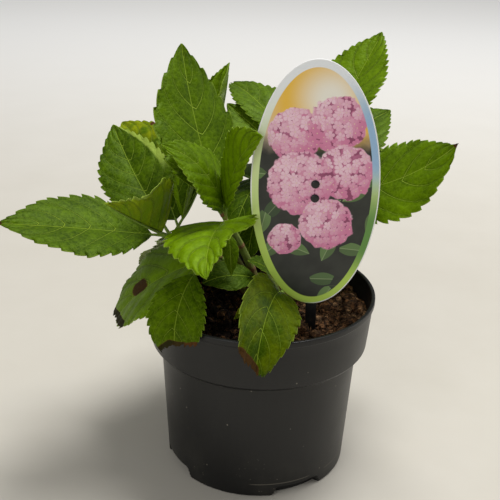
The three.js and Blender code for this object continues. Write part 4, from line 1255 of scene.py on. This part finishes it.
def ball():
    """The 12 corners and 20 faces of an icosahedron of radius 1."""
    golden = (1 + math.sqrt(5)) / 2
    corners = [(sign_a, sign_b * golden, 0) for sign_a in (-1, 1) for sign_b in (-1, 1)]
    corners = [tuple(np.roll(corner, shift)) for shift in range(3) for corner in corners]
    corners = np.array(corners, float) / math.hypot(1, golden)
    near = 2 / math.hypot(1, golden) * 1.01
    touch = np.linalg.norm(corners[:, None] - corners[None], axis=-1) < near
    faces = []
    for a in range(12):
        for b in range(a + 1, 12):
            for c in range(b + 1, 12):
                if touch[a, b] and touch[b, c] and touch[a, c]:
                    outward = np.cross(corners[b] - corners[a], corners[c] - corners[a]) @ corners[a] > 0
                    faces.append((a, b, c) if outward else (a, c, b))
    return corners, np.array(faces)


def scatter(chance, count, edge):
    """Places strewn evenly over the peat, away from its very edge."""
    radius = np.sqrt(chance.uniform(0, 1, count)) * (edge - 1.5 * MM)
    turn = chance.uniform(0, TURN, count)
    return np.stack([radius * np.cos(turn), radius * np.sin(turn)], -1)


def crumbs_shape(pot, look):
    """Crumbs: balls of twenty faces, each stretched, dented and turned its own seeded way, and moved
    inwards where it would reach the pot's wall."""
    chance = np.random.default_rng(11)
    corners, faces = ball()
    edge = peat_edge(pot)
    count = look.crumbs
    where = scatter(chance, count, edge)
    size = look.crumb_size * np.exp(chance.normal(0, 0.55, count))
    size = np.minimum(size, look.largest_crumb)
    reach = np.linalg.norm(where, axis=1)
    where = where * np.minimum(1, (edge - CRUMB_REACH * size) / reach)[:, None]
    stretch = chance.uniform(0.4, 1.3, (count, 1, 3))
    dents = chance.uniform(0.6, 1.2, (count, 12, 1))
    turns = np.linalg.qr(chance.normal(size=(count, 3, 3)))[0]
    turns = turns * np.sign(np.linalg.det(turns))[:, None, None]
    points = (corners[None] * dents * stretch * size[:, None, None]) @ turns
    ground = peat_height(where, look, edge)
    points = points + np.concatenate([where, (ground + CRUMB_LIFT * size)[:, None]], 1)[:, None]
    shape = Shape()
    offsets = (np.arange(count) * 12)[:, None, None]
    shape.add(points, [(faces[None] + offsets).reshape(-1, 3)])
    return shape


FIBRE_STEPS = 6
FIBRE_SIDES = 4
LONGEST_FIBRE = 22
FIBRE_LIFT = 0.4


def fibres_shape(pot, look):
    """Fibres: thin four-sided threads on bent lines over the peat. A thread's line is straight along its
    bearing plus a bow to the side and a bow upwards, and it thins to both ends."""
    chance = np.random.default_rng(12)
    edge = peat_edge(pot)
    count = look.fibres
    where = scatter(chance, count, edge - 4 * MM)
    bearing = chance.uniform(0, TURN, count)
    length = np.minimum(look.fibre_length * np.exp(chance.normal(0, 0.5, count)), LONGEST_FIBRE * MM)
    radius = chance.uniform(0.12, 0.4, count) * MM
    t = np.linspace(-0.5, 0.5, FIBRE_STEPS)[None, :]
    ahead = np.stack([np.cos(bearing), np.sin(bearing)], -1)[:, None]
    aside = np.stack([-np.sin(bearing), np.cos(bearing)], -1)[:, None]
    bow = chance.uniform(-0.3, 0.3, (count, 1)) * (0.25 - t ** 2) * 4
    flat = where[:, None] + (ahead * t[..., None] + aside * bow[..., None]) * length[:, None, None]
    reach = np.linalg.norm(flat, axis=-1, keepdims=True)
    flat = flat * np.minimum(1, (edge - 1 * MM) / np.maximum(reach, 1e-6))
    rise = chance.uniform(0, 0.22, (count, 1)) * length[:, None] * (0.25 - t ** 2) * 4
    tilt = chance.uniform(-0.1, 0.12, (count, 1)) * length[:, None] * t
    height = peat_height(flat, look, edge) + FIBRE_LIFT * MM + np.abs(rise) + tilt
    line = np.concatenate([flat, height[..., None]], -1)
    along = unit(np.gradient(line, axis=1))
    across = unit(np.cross(along, np.array([0, 0, 1.0])))
    up = np.cross(across, along)
    turn = TURN * np.arange(FIBRE_SIDES) / FIBRE_SIDES
    thin = (1 - 0.8 * (2 * np.abs(t)) ** 3) * radius[:, None]
    spoke = np.cos(turn)[:, None] * across[:, :, None] - np.sin(turn)[:, None] * up[:, :, None]
    rings = line[:, :, None] + spoke * thin[..., None, None]
    ends = np.stack([rings[:, 0].mean(1), rings[:, -1].mean(1)], 1)
    points = np.concatenate([rings.reshape(count, -1, 3), ends], 1)
    per = points.shape[1]
    offsets = (np.arange(count) * per)[:, None, None]
    shape = Shape()
    shape.add(points, [(faces[None] + offsets).reshape(-1, faces.shape[1])
                       for faces in closed_tube(FIBRE_STEPS, FIBRE_SIDES)])
    return shape


PLATE_SIDES = 256
PLATE_RINGS = (0.04, 0.15, 0.3, 0.45, 0.6, 0.75, 0.88, 0.96, 0.985)


def label_frame():
    """Middle of the label's plate, its direction across, up and towards the front, and its half sizes.
    The plate's lean is read from its highest and its furthest points."""
    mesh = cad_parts["label_plate"].data
    points = np.empty(len(mesh.vertices) * 3)
    mesh.vertices.foreach_get("co", points)
    points = points.reshape(-1, 3)
    middle = (points.max(0) + points.min(0)) / 2
    top = points[points[:, 2] > points[:, 2].max() - 0.2 * MM].mean(0) - middle
    up = unit(np.array([top[0], 0, top[2]]))
    across = np.array([up[2], 0, -up[0]])
    front = np.array([0, -1.0, 0])
    half_wide = np.abs((points - middle) @ across).max()
    half_high = np.abs((points - middle) @ up).max()
    half_thick = np.abs((points - middle)[:, 1]).max()
    return middle, across, up, front, half_wide, half_high, half_thick


def plate_shape(place):
    """An oval card with a rounded edge. Rings of one oval shape grow to the edge on the front and shrink
    again on the back."""
    middle, across, up, front, half_wide, half_high, half_thick = place
    inset = half_thick / half_wide
    corner = np.radians(np.linspace(0, 180, 9))
    rim = [(1 - inset + inset * math.sin(angle), math.cos(angle)) for angle in corner]
    section = [(size, -1.0) for size in PLATE_RINGS] + [(size, -depth) for size, depth in rim]
    section += [(size, 1.0) for size in reversed(PLATE_RINGS)]
    section = np.array(section)
    turn = TURN * np.arange(PLATE_SIDES) / PLATE_SIDES
    x = section[:, :1] * half_wide * np.cos(turn)
    z = section[:, :1] * half_high * np.sin(turn)
    depth = section[:, 1:] * half_thick
    rings = middle + x[..., None] * across + z[..., None] * up - depth[..., None] * front
    back = np.repeat((section[:, 1:] > 0.2).astype(float), PLATE_SIDES, 1)
    shape = Shape()
    add_tube(shape, rings, spread=np.stack([x, z, back], -1))
    return shape


STICK_SIDES = 32
STICK_CORNER = 0.5
STICK_WIDTH = 8.5
STICK_THICKNESS = 2.4
PEG_HEIGHTS = (112.5, 123.7)
PEG_RADIUS = 1.8
PEG_HEAD_RADIUS = 3.2
PEG_HEAD_THICKNESS = 1.6
PLATE_CENTRE_HEIGHT = 121
CLEARANCE = 0.3


def squircle(turn, half_x, half_y, corner):
    """A rectangle with round corners, as points round it: the nearest point of the inner rectangle to a
    far point in each direction, plus a corner's radius on the way out."""
    far = np.stack([np.cos(turn) * half_x, np.sin(turn) * half_y], -1) * 1.6
    inner = np.clip(far, [-(half_x - corner), -(half_y - corner)], [half_x - corner, half_y - corner])
    return inner + unit(far - inner) * corner


def stick_shape(place):
    """The stick with round corners and a round top, stood behind the card, and two domed pegs in front."""
    middle, across, up, front, _, _, half_thick = place
    behind = half_thick + CLEARANCE * MM
    length = STICK_HIGH.z - STICK_LOW.z
    foot = STICK_LOW.z - middle[2]
    turn = TURN * np.arange(STICK_SIDES) / STICK_SIDES
    outline = squircle(turn, STICK_WIDTH / 2 * MM, STICK_THICKNESS / 2 * MM, STICK_CORNER * MM)
    share = np.array([0, 0.002, 0.01, 0.3, 0.6, 0.9, 0.985, 0.993, 0.998, 1])
    narrow = np.array([0.8, 0.94, 1, 1, 1, 1, 1, 0.96, 0.85, 0.68])
    rise = foot + length * share
    centre = middle - front * (behind + STICK_THICKNESS / 2 * MM)
    sideways = outline[None, :, :1] * narrow[:, None, None] * across
    rings = centre + rise[:, None, None] * up + sideways - outline[None, :, 1:] * front
    shape = Shape()
    add_tube(shape, rings)
    dome = np.radians(np.linspace(0, 90, 7))
    head = PEG_HEAD_THICKNESS * MM
    profile = [(PEG_RADIUS * MM, -behind - half_thick), (PEG_RADIUS * MM, -0.0001)]
    profile += [(PEG_HEAD_RADIUS * MM * math.cos(angle) ** 0.5 + 1e-5,
                 head * (0.35 + 0.65 * math.sin(angle))) for angle in dome]
    profile.insert(2, (PEG_HEAD_RADIUS * MM, 0.0))
    profile = np.array(profile)
    for height in PEG_HEIGHTS:
        seat = middle + (height - PLATE_CENTRE_HEIGHT) * MM * up + front * half_thick
        spoke = np.cos(turn)[:, None] * across + np.sin(turn)[:, None] * up
        rings = seat + profile[:, 1, None, None] * front + profile[:, 0, None, None] * spoke
        add_tube(shape, rings)
    return shape


OLD = 0.9
YOUNG = 0.15
TWIG_SEED = 50
LEAF_SEEDS = 20


def leaves_of(name):
    """Each leaf of a shoot with its line and a seed of its own."""
    shoot = SHOOTS[name]
    for number, row in enumerate(shoot["leaves"]):
        leaf = {**PLAIN_LEAF, **row}
        heel, _ = shoot_line(shoot, leaf["at"])
        yield leaf, leaf_line(leaf, heel), list(SHOOTS).index(name) * LEAF_SEEDS + number


# The stage, in metres: the floor's half side, and each lamp's place, width and setting
FLOOR_HALF = 6.0
LAMPS = {
    "lamp_over": ((0.5, 0.5, 3.0), 1.4, "lamp_power"),
    "lamp_front": ((-0.9, -1.5, 1.0), 1.2, "fill_power"),
    "lamp_side": ((1.6, 0.4, 0.7), 0.8, "side_power"),
}
LAMP_AIM = (0, 0, 0.15)
SENSOR_WIDTH = 36


class HYDRANGEA_OT_stage(bpy.types.Operator):
    """Set up the pale floor, the soft light and the camera"""

    bl_idname = "hydrangea.stage"
    bl_label = "Stage"

    def execute(self, context):
        look = context.scene.hydrangea.stage
        mesh = bpy.data.meshes.new("floor")
        corners = [(x * FLOOR_HALF, y * FLOOR_HALF, 0) for x, y in ((-1, -1), (1, -1), (1, 1), (-1, 1))]
        mesh.from_pydata(corners, [], [(0, 1, 2, 3)])
        finish = Finish("floor_paper", Specular_IOR_Level=0.2)
        place = finish.place()
        tint = finish.blend(finish.noise(place, 0.08, 5) * 0.5, tuple(look.floor), paint(190, 184, 170))
        # Painted light: the floor turns paler towards the back, where the big lamp's light falls off.
        tint = finish.blend(finish.ease(finish.parts(place)[1], 0.3, 2.0), tint, paint(250, 249, 246))
        finish.feed("Base Color", tint)
        finish.feed("Roughness", 0.75 + finish.noise(place, 0.02, 2) * 0.2)
        mesh.materials.append(finish.material)
        floor = bpy.data.objects.new("floor", mesh)
        context.scene.collection.objects.link(floor)

        world = bpy.data.worlds.new("room")
        world.use_nodes = True
        background = world.node_tree.nodes["Background"]
        background.inputs["Color"].default_value = (*look.room, 1)
        background.inputs["Strength"].default_value = look.room_strength
        context.scene.world = world
        for name, (spot, size, setting) in LAMPS.items():
            self.lamp(context, name, spot, size, getattr(look, setting))

        camera = bpy.data.objects.new("camera", bpy.data.cameras.new("camera"))
        camera.data.sensor_width = SENSOR_WIDTH
        camera.data.lens = look.lens
        place = Vector((look.camera_side, -look.camera_distance, look.camera_height))
        tilt = Matrix.Rotation(math.pi / 2 - look.camera_pitch, 4, "X")
        roll = Matrix.Rotation(look.camera_roll, 4, "Z")
        camera.matrix_world = Matrix.Translation(place) @ tilt @ roll
        context.scene.collection.objects.link(camera)
        context.scene.camera = camera
        context.scene.view_settings.view_transform = "Standard"
        return {"FINISHED"}

    def lamp(self, context, name, place, size, power):
        """Adds a round soft lamp that points at the plant."""
        light = bpy.data.lights.new(name, "AREA")
        light.shape = "DISK"
        light.size = size
        light.energy = power
        lamp = bpy.data.objects.new(name, light)
        aim = Vector(LAMP_AIM) - Vector(place)
        lamp.matrix_world = Matrix.Translation(place) @ aim.to_track_quat("-Z", "Y").to_matrix().to_4x4()
        context.scene.collection.objects.link(lamp)


class HYDRANGEA_OT_pot(bpy.types.Operator):
    """Turn the nursery pot, with its collar, lip and drainage notches"""

    bl_idname = "hydrangea.pot"
    bl_label = "Pot"

    def execute(self, context):
        look = context.scene.hydrangea.pot
        pot_shape(look).piece("nursery_pot", plastic_finish(look), "pot", "pot")
        return {"FINISHED"}


class HYDRANGEA_OT_peat(bpy.types.Operator):
    """Fill the pot with peat and strew crumbs and fibres over it"""

    bl_idname = "hydrangea.peat"
    bl_label = "Peat"

    def execute(self, context):
        pot = context.scene.hydrangea.pot
        look = context.scene.hydrangea.peat
        peat_shape(pot, look).piece("peat", peat_finish(look, "peat", 0.35), "soil", "soil")
        crumbs_shape(pot, look).piece(
            "peat_crumbs", peat_finish(look, "peat_crumb", 0.42), "soil", "soil", smooth=False)
        fibres_shape(pot, look).piece("peat_fibres", peat_finish(look, "peat_fibre", 0.62), "soil", "soil")
        return {"FINISHED"}


class HYDRANGEA_OT_stems(bpy.types.Operator):
    """Grow the stems with their bark, from the peat to where the leaves begin"""

    bl_idname = "hydrangea.stems"
    bl_label = "Stems"

    def execute(self, context):
        look = context.scene.hydrangea.stem
        finish = bark_finish("bark", tuple(look.green), tuple(look.brown))
        for seed, (name, shoot) in enumerate(SHOOTS.items()):
            shape = Shape()
            radius = shoot["radius"]
            add_limb(shape, shoot, 0, shoot["split"], radius, radius * STEM_TAPER, FOOT_FLARE, look,
                     STEM_ROWS, seed, OLD)
            shape.piece(f"bark_{name}", finish, "stem", f"stem_{name}")
        return {"FINISHED"}


class HYDRANGEA_OT_twigs(bpy.types.Operator):
    """Grow each shoot's green top, its bud and the stalks of its leaves"""

    bl_idname = "hydrangea.twigs"
    bl_label = "Twigs"

    def execute(self, context):
        look = context.scene.hydrangea.stem
        finish = bark_finish("stalk", tuple(look.stalk), tuple(look.blush))
        for seed, (name, shoot) in enumerate(SHOOTS.items()):
            shape = Shape()
            add_limb(shape, shoot, shoot["split"] + TOP_LIFT, 1, shoot["radius"] * STEM_TAPER,
                     CROWN_TIP_RADIUS, 0, look, TOP_ROWS, seed + TWIG_SEED, YOUNG)
            add_bud(shape, shoot)
            for leaf, line, _ in leaves_of(name):
                add_stalk(shape, leaf, line)
            shape.piece(f"twigs_{name}", finish, "foliage", f"foliage_{name}")
        return {"FINISHED"}


class HYDRANGEA_OT_leaves(bpy.types.Operator):
    """Grow the toothed and veined blades, one piece for each shoot"""

    bl_idname = "hydrangea.leaves"
    bl_label = "Leaves"

    def execute(self, context):
        look = context.scene.hydrangea.leaf
        finish = leaf_finish(look)
        for name in SHOOTS:
            shape = Shape()
            for leaf, line, seed in leaves_of(name):
                add_blade(shape, leaf, line, look, seed)
            shape.piece(f"leaves_{name}", finish, "foliage", f"foliage_{name}")
        return {"FINISHED"}


class HYDRANGEA_OT_label(bpy.types.Operator):
    """Cut the oval picture label and stand it on its pegged stick"""

    bl_idname = "hydrangea.label"
    bl_label = "Label"

    def execute(self, context):
        look = context.scene.hydrangea.label
        place = label_frame()
        finish = print_finish(look, place[4], place[5])
        plate_shape(place).piece("picture_label", finish, "label_plate", "label_plate")
        stick_shape(place).piece("label_peg_stick", stick_finish(look), "label_stick", "label_stick")
        return {"FINISHED"}


STEPS = ("stage", "pot", "peat", "stems", "twigs", "leaves", "label")


class HYDRANGEA_PT_build(bpy.types.Panel):
    """Lists the plant's pieces and the stage, with their sizes and colours"""

    bl_idname = "HYDRANGEA_PT_build"
    bl_label = "Potted hydrangea"
    bl_space_type = "VIEW_3D"
    bl_region_type = "UI"
    bl_category = "Hydrangea"

    def draw(self, context):
        look = context.scene.hydrangea
        for step in STEPS:
            self.layout.operator(f"hydrangea.{step}")
        for group in ("pot", "peat", "stem", "leaf", "label", "stage"):
            box = self.layout.box()
            box.label(text=group.capitalize())
            settings = getattr(look, group)
            for name in settings.bl_rna.properties.keys():
                if name not in ("rna_type", "name"):
                    box.prop(settings, name)


CLASSES = (
    PotLook, PeatLook, StemLook, LeafLook, LabelLook, StageLook, HydrangeaLook,
    HYDRANGEA_OT_stage, HYDRANGEA_OT_pot, HYDRANGEA_OT_peat, HYDRANGEA_OT_stems, HYDRANGEA_OT_twigs,
    HYDRANGEA_OT_leaves, HYDRANGEA_OT_label, HYDRANGEA_PT_build,
)


def register():
    for entry in CLASSES:
        bpy.utils.register_class(entry)
    bpy.types.Scene.hydrangea = bpy.props.PointerProperty(
        name="Hydrangea", description="Sizes and colours of the potted hydrangea", type=HydrangeaLook)


def unregister():
    del bpy.types.Scene.hydrangea
    for entry in reversed(CLASSES):
        bpy.utils.unregister_class(entry)


def main():
    register()
    bpy.ops.hydrangea.stage()
    bpy.ops.hydrangea.pot()
    bpy.ops.hydrangea.peat()
    bpy.ops.hydrangea.stems()
    bpy.ops.hydrangea.twigs()
    bpy.ops.hydrangea.leaves()
    bpy.ops.hydrangea.label()
    bpy.context.view_layer.update()


if __name__ == "__main__":
    main()
